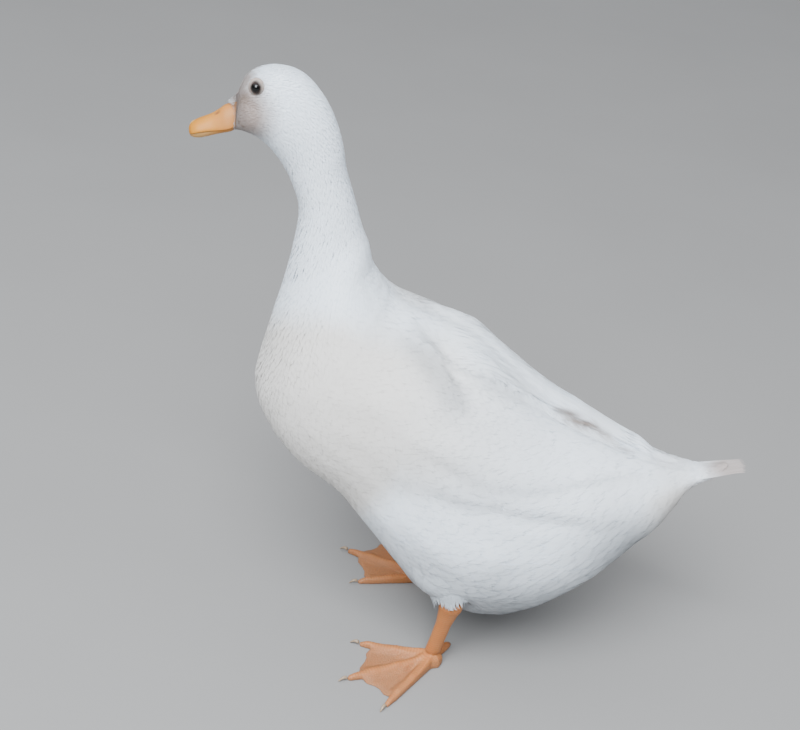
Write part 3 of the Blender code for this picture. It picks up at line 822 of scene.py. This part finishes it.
def upperBill(f, x, s, top, edge):
    # height, nail and nostril of the upper bill: f along it, x across and s up, all from 0 to 1
    if s <= 0:
        return edge + 0.001 * s * (1 - f) - 0.0004 * (1 - s * s), 0.0, 0.0
    # nostril: an oval pit on each side, high up near the root
    d = math.hypot((f - 0.33) / 0.075, (abs(x) - 0.5) / 0.14)
    hole = float(np.clip(1.25 - d, 0, 1))
    h = edge + (top - edge) * s ** 0.92
    if d < 1.6:
        h -= 0.0011 * hole - 0.0003 * math.exp(-((d - 1.15) / 0.25) ** 2)
    # nail: a raised bean on the tip
    d = math.hypot((f - 0.93) / 0.11, x / 0.36)
    h += 0.0005 * float(np.clip(1.6 - 1.5 * d, 0, 1))
    return h, float(np.clip(1.5 - 1.3 * d, 0, 1)), hole


def lowerBill(f, x, s, bottom, edge):
    h = edge - 0.0004 + (edge - bottom) * min(s, 0.0)
    # soft web between the two arms of the lower bill
    if s < 0 and f < 0.75 and abs(x) < 0.55:
        h += 0.0009 * (1 - abs(x) / 0.55) * (1 - f / 0.75)
    return h, 0.55 * float(smoothStep(0.25, 0.75, f)), 0.0


def tubeFaces(rings, count):
    # triangles of a tube of rings, and of the fans that close it round a hub at each end
    faces = []
    for r in range(rings - 1):
        for p in range(count):
            q = (p + 1) % count
            a, b, c, d = r * count + p, r * count + q, (r + 1) * count + q, (r + 1) * count + p
            faces += [(a, b, c), (a, c, d)]
    last = (rings - 1) * count
    for p in range(count):
        faces.append((rings * count, (p + 1) % count, p))
    for p in range(count):
        faces.append((rings * count + 1, last + p, last + (p + 1) % count))
    return faces


def billHalf(name, over):
    rings, count, rows = billSet["rings"], billSet["points"], billSet["rows"]
    points, values = [], []
    for r in range(rings):
        f = 1 - (1 - r / (rings - 1)) ** 1.35      # rings crowd towards the tip
        place = np.interp(f, [row[0] for row in rows], range(len(rows)))
        _, half, top, edge, bottom = readRows(rows, place)
        for p in range(count):
            turn = fullTurn * p / count
            c, s = math.cos(turn), math.sin(turn)
            x = math.copysign(abs(c) ** 0.8, c)
            h, nail, nostrilShade = upperBill(f, x, s, top, edge) if over else lowerBill(f, x, s, bottom, edge)
            wide = half * ((1.03 if abs(s) < 0.25 else 1.0) if over else billSet["lower"])
            spot = billRoot + billAhead * f * billSet["length"] + headSide * wide * x + billRise * h
            if f < billSet["square"]:      # cut square to the face, a little way under its feathers
                short = billRoot[1] + billSet["inside"] - (billRoot + billRise * h)[1]
                spot = spot + billAhead * short / billAhead[1] * (1 - f / billSet["square"])
            points.append(spot)
            values.append((f, nail, nostrilShade))
    for end, ring in ((0.0, 0), (1.0, rings - 1)):
        points.append(np.mean(points[ring * count:(ring + 1) * count], axis=0))
        values.append((end, 0.0, 0.0))
    piece = meshPiece(name, points, tubeFaces(rings, count), billMaterial,
                      values=zip(("along", "nail", "nostrilShade"), zip(*values)))
    turnFacesOutward(piece)
    applied(piece, "SMOOTH", factor=0.5, iterations=2)
    return piece


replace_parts(billHalf("billUpper", True), "bill_upper")
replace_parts(billHalf("billLower", False), "bill_lower")
print("bill done")

eyeSet = {
    "radius": 0.0054, "inward": 0.0018, "backward": 0.0006, "forward": math.radians(5),
    "raised": math.radians(4), "cornea": 0.0006, "corneaRadius": 0.0028,
    # half height and half width of the opening between the lids, their thickness, and how the opening leans
    "opening": (0.0053, 0.0042), "lid": 0.001, "lean": math.radians(16),
}
lidMaterial = makeLid()
eyeCentres = {}


def eyePlace(side):
    # middle of the ball and the way it looks
    low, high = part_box("eye_" + side)
    sign = sideSign[side]
    centre = (np.array(low) + np.array(high)) / 2 + (-sign * eyeSet["inward"], eyeSet["backward"], 0.0)
    out = headSide * sign * math.cos(eyeSet["forward"]) + np.array([0, -math.sin(eyeSet["forward"]), 0])
    return centre, unit(out + headUp * math.sin(eyeSet["raised"]))


def makeEyeball(side, centre, out):
    bpy.ops.mesh.primitive_uv_sphere_add(segments=48, ring_count=32, radius=eyeSet["radius"])
    ball = bpy.context.object
    ball.name = ball.data.name = "eyeball_" + side
    points = pointsOf(ball)
    turned = np.array(Vector((0, 0, 1)).rotation_difference(Vector(out)).to_matrix())
    bulge = np.exp(-(np.hypot(points[:, 0], points[:, 1]) / eyeSet["corneaRadius"]) ** 2)
    points[:, 2] += eyeSet["cornea"] * bulge * (points[:, 2] > 0)
    setPoints(ball, points @ turned.T + centre)
    bpy.ops.object.shade_smooth()
    ball.data.materials.append(makeEye(side, centre, out))
    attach(ball, "root")
    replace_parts(ball, "eye_" + side)


def makeEyelid(side, centre, out):
    # a soft almond ring that hugs the ball
    ringWidth = 0.2
    bpy.ops.mesh.primitive_torus_add(major_segments=64, minor_segments=16, major_radius=1.0,
                                     minor_radius=ringWidth)
    lid = bpy.context.object
    lid.name = lid.data.name = "eyelid_" + side
    ring = pointsOf(lid)
    around = np.arctan2(ring[:, 1], ring[:, 0])
    outFrom = np.hypot(ring[:, 0], ring[:, 1]) - 1.0
    thick = eyeSet["lid"] / ringWidth
    ahead = np.cross(out, headUp)
    ahead = unit(ahead * -np.sign(ahead[1]))
    upward = np.cross(ahead, out)
    upward *= np.sign(upward @ headUp)
    tall, wide = eyeSet["opening"]
    corner = 1 + 0.08 * np.abs(np.cos(around)) ** 6
    level = np.cos(around) * (wide * corner + outFrom * thick * 1.5)
    rise = np.sin(around) * (tall + outFrom * thick * 1.5)
    across = level * math.cos(eyeSet["lean"]) + rise * math.sin(eyeSet["lean"])
    above = rise * math.cos(eyeSet["lean"]) - level * math.sin(eyeSet["lean"])
    reach = np.minimum(np.hypot(across, above), eyeSet["radius"] * 0.985)
    depth = np.sqrt(eyeSet["radius"] ** 2 - reach ** 2) + ring[:, 2] * thick * 0.3 + 0.0001
    setPoints(lid, centre + across[:, None] * ahead + above[:, None] * upward + depth[:, None] * out)
    setValues(lid.data, "rim", smoothStep(0.02, -0.16, outFrom))
    turnFacesOutward(lid)
    bpy.ops.object.shade_smooth()
    lid.data.materials.append(lidMaterial)
    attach(lid, "root")


for side in sideSign:
    eyeCentres[side] = eyePlace(side)
    makeEyeball(side, *eyeCentres[side])
    makeEyelid(side, *eyeCentres[side])
print("eyes done")

clawSet = {"bend": 0.001, "root": 0.0004}
clawMaterial = makeClaw()


def makeHorn(side, toe, heel):
    node = "claw_%s_%s" % (side, toe)
    claw = copyOfNodes("horn_%s_%s" % (side, toe), [node])
    applied(claw, "SUBSURF", levels=2, render_levels=2)
    points = pointsOf(claw)
    reach = np.linalg.norm(points[:, :2] - heel[:2], axis=1)
    f = (reach - reach.min()) / (reach.max() - reach.min())
    points[:, 2] += clawSet["bend"] * np.sin(math.pi * f) + clawSet["root"] * (1 - f)
    setPoints(claw, points)
    selectOnly(claw)
    bpy.ops.object.shade_smooth()
    claw.data.materials.append(clawMaterial)
    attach(claw, "root")
    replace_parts(claw, node)


for side in sideSign:
    for toe in toeNames:
        makeHorn(side, toe, toeLines(side)[0])
print("claws done")


# For each kind of feather: where it is widest, and how bluntly it ends.
vaneShapes = {"round": (0.55, 0.55), "point": (0.42, 0.85), "blade": (0.62, 0.5), "down": (0.6, 0.8)}


def vaneHalf(u, kind):
    # half width along a feather: narrow root, full middle, then its end
    wide, end = vaneShapes[kind]
    rise = np.clip(u / wide, 0, 1) ** 0.6
    fall = np.clip((1 - u) / (1 - wide), 0, 1) ** end
    return np.where(u < wide, rise, fall)


def vaneTemplate(kind, steps, core, barbs, seed):
    # a flat feather one long and one wide to each side: a plain core, and loose barbs that taper beyond it
    chance = np.random.default_rng(seed)
    u = np.linspace(0, 1, steps + 1) ** 0.9
    half = vaneHalf(u, kind) * core
    rows = [(0.0, 0.0, 0.0)]
    for k in range(1, steps):
        rows += [(u[k], 0.0, 0.0), (u[k], -half[k], 0.0), (u[k], half[k], 0.0)]
    rows.append((1.0, 0.0, 0.0))
    last = len(rows) - 1
    triangles = []

    def centre(k):
        return 0 if k == 0 else (last if k == steps else 3 * k - 2)

    def rim(k, s):
        return centre(k) if k in (0, steps) else 3 * k - 1 + (1 if s > 0 else 0)

    def face(s, *corners):
        if len(set(corners)) == 3:
            triangles.append(corners[::-1] if s > 0 else corners)

    for s in (-1, 1):
        for k in range(steps):
            face(s, centre(k), centre(k + 1), rim(k + 1, s))
            face(s, centre(k), rim(k + 1, s), rim(k, s))
            if k == 0 or not barbs:
                continue
            first, second = np.array(rows[rim(k, s)]), np.array(rows[rim(k + 1, s)])
            for b in range(barbs):
                low, high = (between(first, second, (b + part) / barbs) for part in (0, 0.85))
                reach = between(u[k], u[k + 1], (b + 0.5) / barbs) + 0.1 + 0.08 * chance.random()
                wide = float(vaneHalf(np.array(min(reach, 0.97)), kind)) * (0.95 + 0.25 * chance.random())
                n = len(rows)
                rows.extend([tuple(low), tuple(high), (reach, s * max(wide, 0.06), 1.0)])
                face(s, n, n + 1, n + 2)
    return np.array(rows), np.array(triangles)


# marks carried on each feather; the grey one, and the warm one under the vent, are painted shade
markNames = ("cream", "warmTintAndShade", "soil", "paintedShade", "tone")


def layFeathers(name, lie, material, root, tip, width, look):
    # feathers from arrays of roots and tips on a lie; each bends with the surface and sinks in at its root
    count = len(width)
    root, tip = np.asarray(root, float), np.asarray(tip, float)
    length = np.linalg.norm(lie.at(*tip.T) - lie.at(*root.T), axis=1)
    lift = look["lift"] * rng.uniform(0.6, 1.4, count) + look.get("level", 0.0)
    roll = rng.standard_normal(count) * look.get("roll", 0.02)
    bow = rng.standard_normal(count) * look.get("bow", 0.03)
    lift = lift + look.get("raised", 0.0)
    tone = look.get("tone", 0.12) * rng.random(count)
    which = rng.integers(0, 4, count)
    parts = {key: [] for key in ("points", "triangles", "bake", "vane", *markNames)}
    start = 0
    for kind in range(4):
        mine = np.flatnonzero(which == kind)
        n = len(mine)
        if not n:
            continue
        shape, faces = vaneTemplate(look["shape"], look["steps"], look["core"], look["barbs"], 31 * kind + 5)
        u, v, loose = shape[:, 0][None], shape[:, 1][None], shape[:, 2][None]
        change = (tip - root)[mine]
        where = root[mine, 0][:, None] + change[:, 0][:, None] * u
        turn = root[mine, 1][:, None] + change[:, 1][:, None] * u
        paceAlong, paceAcross = lie.pace(where, turn)
        a, b = change[:, 0][:, None] * paceAlong, change[:, 1][:, None] * paceAcross
        size = np.hypot(a, b) + 1e-9
        off = v * width[mine][:, None] + bow[mine][:, None] * (u - u * u) * length[mine][:, None]
        where = where - b / size * off / paceAlong
        turn = turn + a / size * off / paceAcross
        base, normal = lie.at(where, turn), lie.normalAt(where, turn)
        inside = np.clip(u, 0, 1)
        height = -look["sink"] * (1 - inside) ** 2.4 + lift[mine][:, None] * inside ** 1.5
        height = height + width[mine][:, None] * (roll[mine][:, None] * v - look.get("camber", 0.04) * v * v)
        height = height + loose * look.get("loose", 0.0002) * rng.standard_normal((n, shape.shape[0]))
        beyond = np.maximum(where - lie.places[1], 0)[..., None] * np.array([0.0, 0.012, 0.001])
        parts["points"].append((base + beyond + normal * height[..., None]).reshape(-1, 3))
        for key, value in markings(base.reshape(-1, 3)).items():
            parts[key].append(value)
        parts["tone"].append(np.repeat(tone[mine], shape.shape[0]))
        faces = faces[None] + (np.arange(n) * shape.shape[0])[:, None, None]
        parts["triangles"].append(faces.reshape(-1, 3) + start)
        start += n * shape.shape[0]
        spot = np.stack([(root[mine, 0] - lie.places[0]) / (lie.places[1] - lie.places[0]),
                         ((root[mine, 1] - lie.angles[0]) / (lie.angles[1] - lie.angles[0])) % 1.0], 1)
        patch = np.stack([0.003 * (u - 0.5) + 0 * where, 0.0015 * np.clip(v, -1, 1) + 0 * where], -1)
        parts["bake"].append(np.clip(0.003 + 0.994 * spot[:, None] + patch, 0, 1).reshape(-1, 2))
        parts["vane"].append(np.stack([0.5 + 0.5 * v + 0 * where, u + 0 * where], -1).reshape(-1, 2))
    joined = {key: np.concatenate(value) for key, value in parts.items()}
    piece = meshPiece(name, joined["points"], joined["triangles"], material,
                      maps=(("OFBake", joined["bake"]), ("vane", joined["vane"])),
                      values=[(key, joined[key]) for key in markNames])
    print("coat", name, count, "feathers", len(piece.data.polygons), "triangles")
    return piece


def tractRoots(tract):
    # rows of roots across a tract, each row shifted against the last
    found = []
    s, row = tract["first"], 0
    while s < tract["last"]:
        f = (s - tract["first"]) / (tract["last"] - tract["first"])
        length = between(tract["length"][0], tract["length"][1], f)
        ends = zip(tract["angles"], tract.get("anglesEnd", tract["angles"]))
        low, high = (math.radians(between(a, b, f)) for a, b in ends)
        t = np.linspace(low, high, 361)
        alongPace, size = bodyLie.pace(np.full(361, s), t)
        arc = np.concatenate([[0], np.cumsum((size[1:] + size[:-1]) / 2 * np.diff(t))])
        count = max(1, round(arc[-1] / (length * tract["beside"])))
        gap = arc[-1] / count
        spot = (np.arange(count) + 0.25 + 0.5 * (row % 2) + 0.3 * rng.uniform(-1, 1, count)) * gap
        turn = np.interp(spot, arc, t)
        pace, _ = bodyLie.pace(np.full(count, s), turn)
        place = s + 0.3 * rng.uniform(-1, 1, count) * length * tract["step"] / pace
        found.append(np.stack([place, turn, np.full(count, length)], 1))
        s += length * tract["step"] / max(float(np.median(alongPace)), 0.004)
        row += 1
    return np.concatenate(found)


def growTract(name, tract):
    rows = tractRoots(tract)
    place, angle, length = rows[:, 0], rows[:, 1], rows[:, 2] * rng.uniform(0.88, 1.12, len(rows))
    centred = (angle + math.pi) % (2 * math.pi) - math.pi
    point = bodyLie.at(place, angle)
    paceAlong, paceAcross = bodyLie.pace(place, angle)
    turn = math.radians(tract.get("turn", 0.0)) * np.sign(centred) * np.minimum(1, np.abs(np.sin(centred)) * 2)
    if "toward" in tract:
        targetPlace, targetAngle = tract["toward"]
        aim = (math.radians(targetAngle) - centred) * paceAcross, (targetPlace - place) * paceAlong
        turn = turn + np.arctan2(*aim)
    turn = turn + math.radians(tract.get("wander", 5.0)) * slowWave(point, 70.0)
    turn = turn + math.radians(tract.get("stray", 4.0)) * rng.standard_normal(len(rows))
    root = np.stack([place, angle], 1)
    way = np.stack([np.cos(turn) / paceAlong, np.sin(turn) / paceAcross], 1)
    tip = root + way * length[:, None]
    for _ in range(2):      # the pace changes along the way: mend the length
        true = np.linalg.norm(bodyLie.at(*tip.T) - point, axis=1)
        tip = root + (tip - root) * np.clip(length / np.maximum(true, 1e-5), 0.4, 2.5)[:, None]
        tip[:, 0] = np.minimum(tip[:, 0], lastStation - 0.25)
    raised = np.zeros(len(rows))
    if "clump" in tract:
        centres = root[rng.choice(len(rows), max(4, int(len(rows) / tract["clump"])), replace=False)]
        scale = np.array([paceAlong.mean(), paceAcross.mean()])
        nearest = (((root[:, None] - centres[None]) * scale) ** 2).sum(2).argmin(1)
        pull = centres[nearest] + (tip - root)
        tip = between(tip, pull, tract["pull"])
        raised = rng.uniform(-0.3, 1.0, len(centres))[nearest] * tract["heave"]
    keep = np.ones(len(rows), bool)
    tipPoint = bodyLie.at(*tip.T)
    for centre, out in eyeCentres.values():
        for spot in (point, tipPoint, (point + tipPoint) / 2):
            keep &= np.linalg.norm((spot - centre - out * 0.004) * (1.0, 1.25, 1.0), axis=1) > 0.0045
    if "wedge" in tract:    # on the bill itself feathers grow only in a wedge up its middle
        reach = np.clip((place - tract["first"]) / (1.02 - tract["first"]), 0, 1)
        inWedge = np.abs(centred) < math.radians(tract["wedge"]) * reach ** 0.8
        keep &= (place > 0.9 + 0.07 * slowWave(point, 900.0)) | inWedge
    look = dict(tract["look"], raised=raised[keep])
    width = length * tract["wide"] * rng.uniform(0.9, 1.1, len(rows)) / 2
    return layFeathers(name, bodyLie, softPlumage, root[keep], tip[keep], width[keep], look)


# How the feathers of a tract look: outline, steps along, width of the plain core, loose barbs to a step, and
# in metres how far tips lift, roots sink and loose barbs stand off.
tinyLook = dict(shape="point", steps=3, core=0.7, barbs=1, lift=0.00012, sink=0.0007, loose=0.00006, tone=0.1)
smallLook = dict(shape="point", steps=4, core=0.65, barbs=2, lift=0.00018, sink=0.0012, loose=0.00008, tone=0.1)
bodyLook = dict(shape="round", steps=6, core=0.74, barbs=2, lift=0.00016, roll=0.008, camber=0.02, sink=0.002,
                loose=0.00008, tone=0.06)
longLook = dict(shape="point", steps=12, core=0.8, barbs=1, lift=0.00022, sink=0.002, loose=0.00008, tone=0.1,
                roll=0.01)
downLook = dict(shape="down", steps=5, core=0.55, barbs=3, lift=0.00016, sink=0.002, loose=0.00008, tone=0.06,
                roll=0.01, camber=0.02)

# What the tracts of a pair share: stations, lengths in metres at the first and the last, and in feather
# lengths the width and the gaps between rows and neighbours.
breast = dict(first=11.2, last=14.6, length=(0.015, 0.02), wide=0.62, step=0.22, beside=0.27, look=bodyLook)
wing = dict(first=13.2, last=16.8, length=(0.018, 0.038), wide=0.5, step=0.2, beside=0.24, stray=2, wander=2,
            look=dict(bodyLook, level=0.0004, steps=7))
flank = dict(first=13.6, last=18.2, length=(0.024, 0.04), wide=0.5, step=0.18, beside=0.22, turn=-8,
             look=dict(bodyLook, level=0.0008, steps=8))
scapular = dict(first=13.2, last=16.2, length=(0.03, 0.056), wide=0.26, step=0.13, beside=0.13, stray=1.5,
                wander=1.5, look=dict(longLook, level=0.0008))
allRound = (-180, 180)

# The tracts, with their borders in degrees from the middle of the back.
tracts = {
    "face": dict(first=0.45, last=3.4, angles=allRound, length=(0.0026, 0.0036), wide=0.46, step=0.36,
                 beside=0.34, stray=7, wedge=95, look=tinyLook),
    "crown": dict(first=3.3, last=6.4, angles=allRound, length=(0.0036, 0.0064), wide=0.42, step=0.3,
                  beside=0.3, stray=6, look=smallLook),
    "neckHigh": dict(first=6.2, last=9.2, angles=allRound, length=(0.0064, 0.011), wide=0.44, step=0.26,
                     beside=0.28, look=smallLook),
    "neckLow": dict(first=9.0, last=11.4, angles=allRound, length=(0.011, 0.015), wide=0.55, step=0.24,
                    beside=0.28, look=bodyLook),
    "breastLeft": dict(breast, angles=(30, 180)),
    "breastRight": dict(breast, angles=(180, 330)),
    "wingLeft": dict(wing, angles=(14, 88), anglesEnd=(-8, 42), toward=(18.4, 12)),
    "wingRight": dict(wing, angles=(-88, -14), anglesEnd=(-42, 4), toward=(18.4, -12)),
    "flankLeft": dict(flank, angles=(74, 128), anglesEnd=(22, 112)),
    "flankRight": dict(flank, angles=(-128, -74), anglesEnd=(-112, -22)),
    "belly": dict(first=14.0, last=17.8, angles=(116, 244), length=(0.02, 0.03), wide=0.45, step=0.2,
                  beside=0.22, stray=8, clump=40, pull=0.22, heave=0.0003, look=downLook),
    "vent": dict(first=17.0, last=20.2, angles=(92, 268), length=(0.032, 0.024), wide=0.4, step=0.16,
                 beside=0.2, stray=8, clump=40, pull=0.25, heave=0.0005, look=downLook),
    "rump": dict(first=17.2, last=20.0, angles=(-96, 96), length=(0.032, 0.024), wide=0.45, step=0.18,
                 beside=0.22, look=dict(bodyLook, level=0.0003)),
    "mantle": dict(first=11.2, last=13.6, angles=(-40, 36), anglesEnd=(-34, 27), length=(0.015, 0.026),
                   wide=0.55, step=0.22, beside=0.26, look=bodyLook),
    "scapularLeft": dict(scapular, angles=(-4, 25), anglesEnd=(-12, -3), toward=(18.0, -10)),
    "scapularRight": dict(scapular, angles=(-32, -3), anglesEnd=(-34, -10), toward=(18.2, -32)),
}

# Long wing feathers laid singly: first and last root and tip (station, degrees), half width, and how high
# they lie.
quillLook = dict(shape="blade", steps=14, core=0.96, barbs=2, lift=0.0004, sink=0.001, loose=0.0001, tone=0.2,
                 camber=0.1, roll=0.015, bow=0.01)
quills = {
    "tertialsLeft": dict(count=6, roots=((15.2, 5), (15.0, -12)), tips=((17.7, 1), (17.5, -13)), width=0.007,
                         level=0.0004, fall=-0.0008),
    "primariesLeft": dict(count=3, roots=((16.0, 0), (15.9, -8)), tips=((17.92, 0), (17.8, -9)), width=0.0045,
                          level=0.0002),
    "tertialsRight": dict(count=6, roots=((15.0, -14), (14.9, -36)), tips=((17.5, -14), (17.45, -32)),
                          width=0.008, level=0.0018),
    "primariesRight": dict(count=3, roots=((15.9, -14), (15.7, -28)), tips=((17.9, -16), (17.8, -30)),
                           width=0.005, level=0.001),
}


def growQuills(name, quill):
    count = quill["count"]
    f = np.linspace(0, 1, count)[:, None]
    ends = []
    for key in ("roots", "tips"):
        first, last = (np.array([place, math.radians(angle)]) for place, angle in quill[key])
        ends.append(between(first[None], last[None], f) + rng.standard_normal((count, 2)) * (0.02, 0.006))
    width = np.full(count, quill["width"]) * rng.uniform(0.94, 1.06, count)
    raised = quill["level"] - quill.get("fall", 0.0005) * np.linspace(0, 1, count)
    return layFeathers(name, bodyLie, flightPlumage, ends[0], ends[1], width, dict(quillLook, raised=raised))


# Downy cuffs where the legs come out of the body: an axis from inside the thigh to below the hock, the radius
# at both ends, how much longer than wide the ring is, and the number of feathers.
cuff = dict(radius=(0.015, 0.0104), longer=1.3, count=1100)
cuffs = {
    "cuffLeft": dict(cuff, top=(0.056, 0.006, 0.095), low=(0.0645, 0.013, 0.07)),
    "cuffRight": dict(cuff, top=(-0.0625, -0.0085, 0.089), low=(-0.0696, -0.0012, 0.063)),
}


def makeCuffLie(cuff, rows=20, columns=48):
    top, low = np.array(cuff["top"]), np.array(cuff["low"])
    axis = unit(low - top)
    side = unit(np.cross(axis, (0.0, 1.0, 0.0)))
    ahead = np.cross(side, axis)
    grid = np.zeros((rows, columns, 3))
    for r, f in enumerate(np.linspace(0, 1, rows)):
        radius = between(cuff["radius"][0], cuff["radius"][1], smoothStep(0.0, 1.0, f))
        for c, turn in enumerate(np.linspace(0, fullTurn, columns, endpoint=False)):
            way = side * math.sin(turn) + cuff["longer"] * ahead * math.cos(turn)
            grid[r, c] = top + (low - top) * f + radius * way
    lie = Lie(grid, places=(0.0, 1.0), angles=(0.0, fullTurn), closed=True)
    middle = rows // 2
    lie.normal *= np.sign((lie.normal[middle] * (grid[middle] - grid[middle].mean(0))).sum())
    return lie


def growCuff(name, cuff):
    count = cuff["count"]
    root = np.stack([rng.uniform(0.0, 0.5, count), rng.uniform(0, fullTurn, count)], 1)
    reach = rng.uniform(0.25, 0.55, count) * (1 - 0.2 * np.sin(3 * root[:, 1]))
    tip = root + np.stack([reach, rng.normal(0, 0.12, count)], 1)
    width = rng.uniform(0.001, 0.0017, count)
    look = dict(downLook, lift=0.0006, sink=0.0015)
    layFeathers(name, makeCuffLie(cuff), softPlumage, root, tip, width, look)


# The tail: a fan of stiff feathers on a nearly flat sheet, whose half width and height follow y.
tailSet = {
    "count": 10, "first": 0.16, "last": 0.2255, "width": 0.0034, "spread": 0.86, "droop": 0.003,
    "half": [(0.16, 0.024), (0.182, 0.0175), (0.204, 0.012), (0.22, 0.01), (0.2255, 0.01)],
    "middle": [(0.16, 0.1722), (0.182, 0.1765), (0.204, 0.1832), (0.22, 0.1877), (0.2255, 0.189)],
}


def makeTailLie(rows=60, columns=41):
    grid = np.zeros((rows, columns, 3))
    across = np.linspace(-1, 1, columns)
    for r, y in enumerate(np.linspace(tailSet["first"], tailSet["last"], rows)):
        half, middle = (np.interp(y, *zip(*tailSet[key])) for key in ("half", "middle"))
        grid[r, :, 0] = middleX + half * across
        grid[r, :, 1] = y - 0.001 * across ** 2
        grid[r, :, 2] = middle - tailSet["droop"] * (half / 0.03) * across ** 2
    return Lie(grid, places=(0.0, 1.0), angles=(-1.0, 1.0), closed=False)


def growTail():
    count = tailSet["count"]
    fan = np.linspace(-tailSet["spread"], tailSet["spread"], count)
    root = np.stack([np.full(count, 0.02), fan * 0.55], 1)
    tip = np.stack([0.985 - 0.035 * rng.random(count), fan], 1)
    look = dict(quillLook, steps=12, core=0.9, raised=0.001 * (1 - np.abs(fan)))
    layFeathers("tailFeathers", makeTailLie(), flightPlumage, root, tip, np.full(count, tailSet["width"]), look)


for name, tract in tracts.items():
    growTract(name, tract)
for name, quill in quills.items():
    growQuills(name, quill)
for name, cuff in cuffs.items():
    growCuff(name, cuff)
growTail()

stageSet = {"half": 9.0, "below": 0.0002, "dark": (0.25, 0.245, 0.24, 1.0), "pale": (0.28, 0.275, 0.27, 1.0)}


def makeFloor():
    material, tree, shader = newMaterial("plain pale floor", {"Roughness": 0.9})
    mottle = noiseAt(tree, objectSpace(tree), 3.0)
    tree.links.new(mixColour(tree, mottle, stageSet["dark"], stageSet["pale"]), shader.inputs["Base Color"])
    bpy.ops.mesh.primitive_plane_add(size=2 * stageSet["half"], location=(0, 0, -stageSet["below"]))
    floor = bpy.context.object
    floor.name = "floor"
    floor.data.materials.append(material)


lightSet = {
    "sky": dict(kind="AREA", place=(1.62, -0.42, 2.14), size=1.7, power=168, colour=(0.92, 0.96, 1.0)),
    "above": dict(kind="SUN", place=(0.3, -0.2, 2.4), size=math.radians(100), power=2.6,
                  colour=(0.93, 0.96, 1.0)),
}
roomLight = {"colour": (0.8, 0.85, 0.92, 1.0), "strength": 0.24}


def makeLights():
    aim = Vector((0, 0, 0.2))
    for name, light in lightSet.items():
        lamp = bpy.data.lights.new(name, light["kind"])
        lamp.energy, lamp.color = light["power"], light["colour"]
        setattr(lamp, "size" if light["kind"] == "AREA" else "angle", light["size"])
        holder = bpy.data.objects.new(name, lamp)
        holder.location = light["place"]
        holder.rotation_euler = (aim - Vector(light["place"])).to_track_quat("-Z", "Y").to_euler()
        bpy.context.scene.collection.objects.link(holder)
    world = bpy.data.worlds.new("soft room")
    world.use_nodes = True
    background = world.node_tree.nodes["Background"]
    background.inputs[0].default_value = roomLight["colour"]
    background.inputs[1].default_value = roomLight["strength"]
    bpy.context.scene.world = world


cameraSet = {"aim": (middleX, -0.0531, 0.235), "distance": 1.154, "elevation": math.radians(29.0),
             "roll": math.radians(8.0), "lens": 67.5}


def makeCamera():
    eye = bpy.data.cameras.new("camera")
    eye.lens, eye.sensor_width, eye.clip_start = cameraSet["lens"], 36.0, 0.02
    camera = bpy.data.objects.new("camera", eye)
    back = Vector((math.cos(cameraSet["elevation"]), 0.0, math.sin(cameraSet["elevation"])))
    right = Vector((0, 0, 1)).cross(back).normalized()
    rolledRight = right * math.cos(cameraSet["roll"]) + back.cross(right) * math.sin(cameraSet["roll"])
    turned = Matrix((rolledRight, back.cross(rolledRight), back)).transposed().to_4x4()
    camera.matrix_world = Matrix.Translation(Vector(cameraSet["aim"]) + back * cameraSet["distance"]) @ turned
    bpy.context.scene.collection.objects.link(camera)
    bpy.context.scene.camera = camera


makeFloor()
makeLights()
makeCamera()
print("stage done")
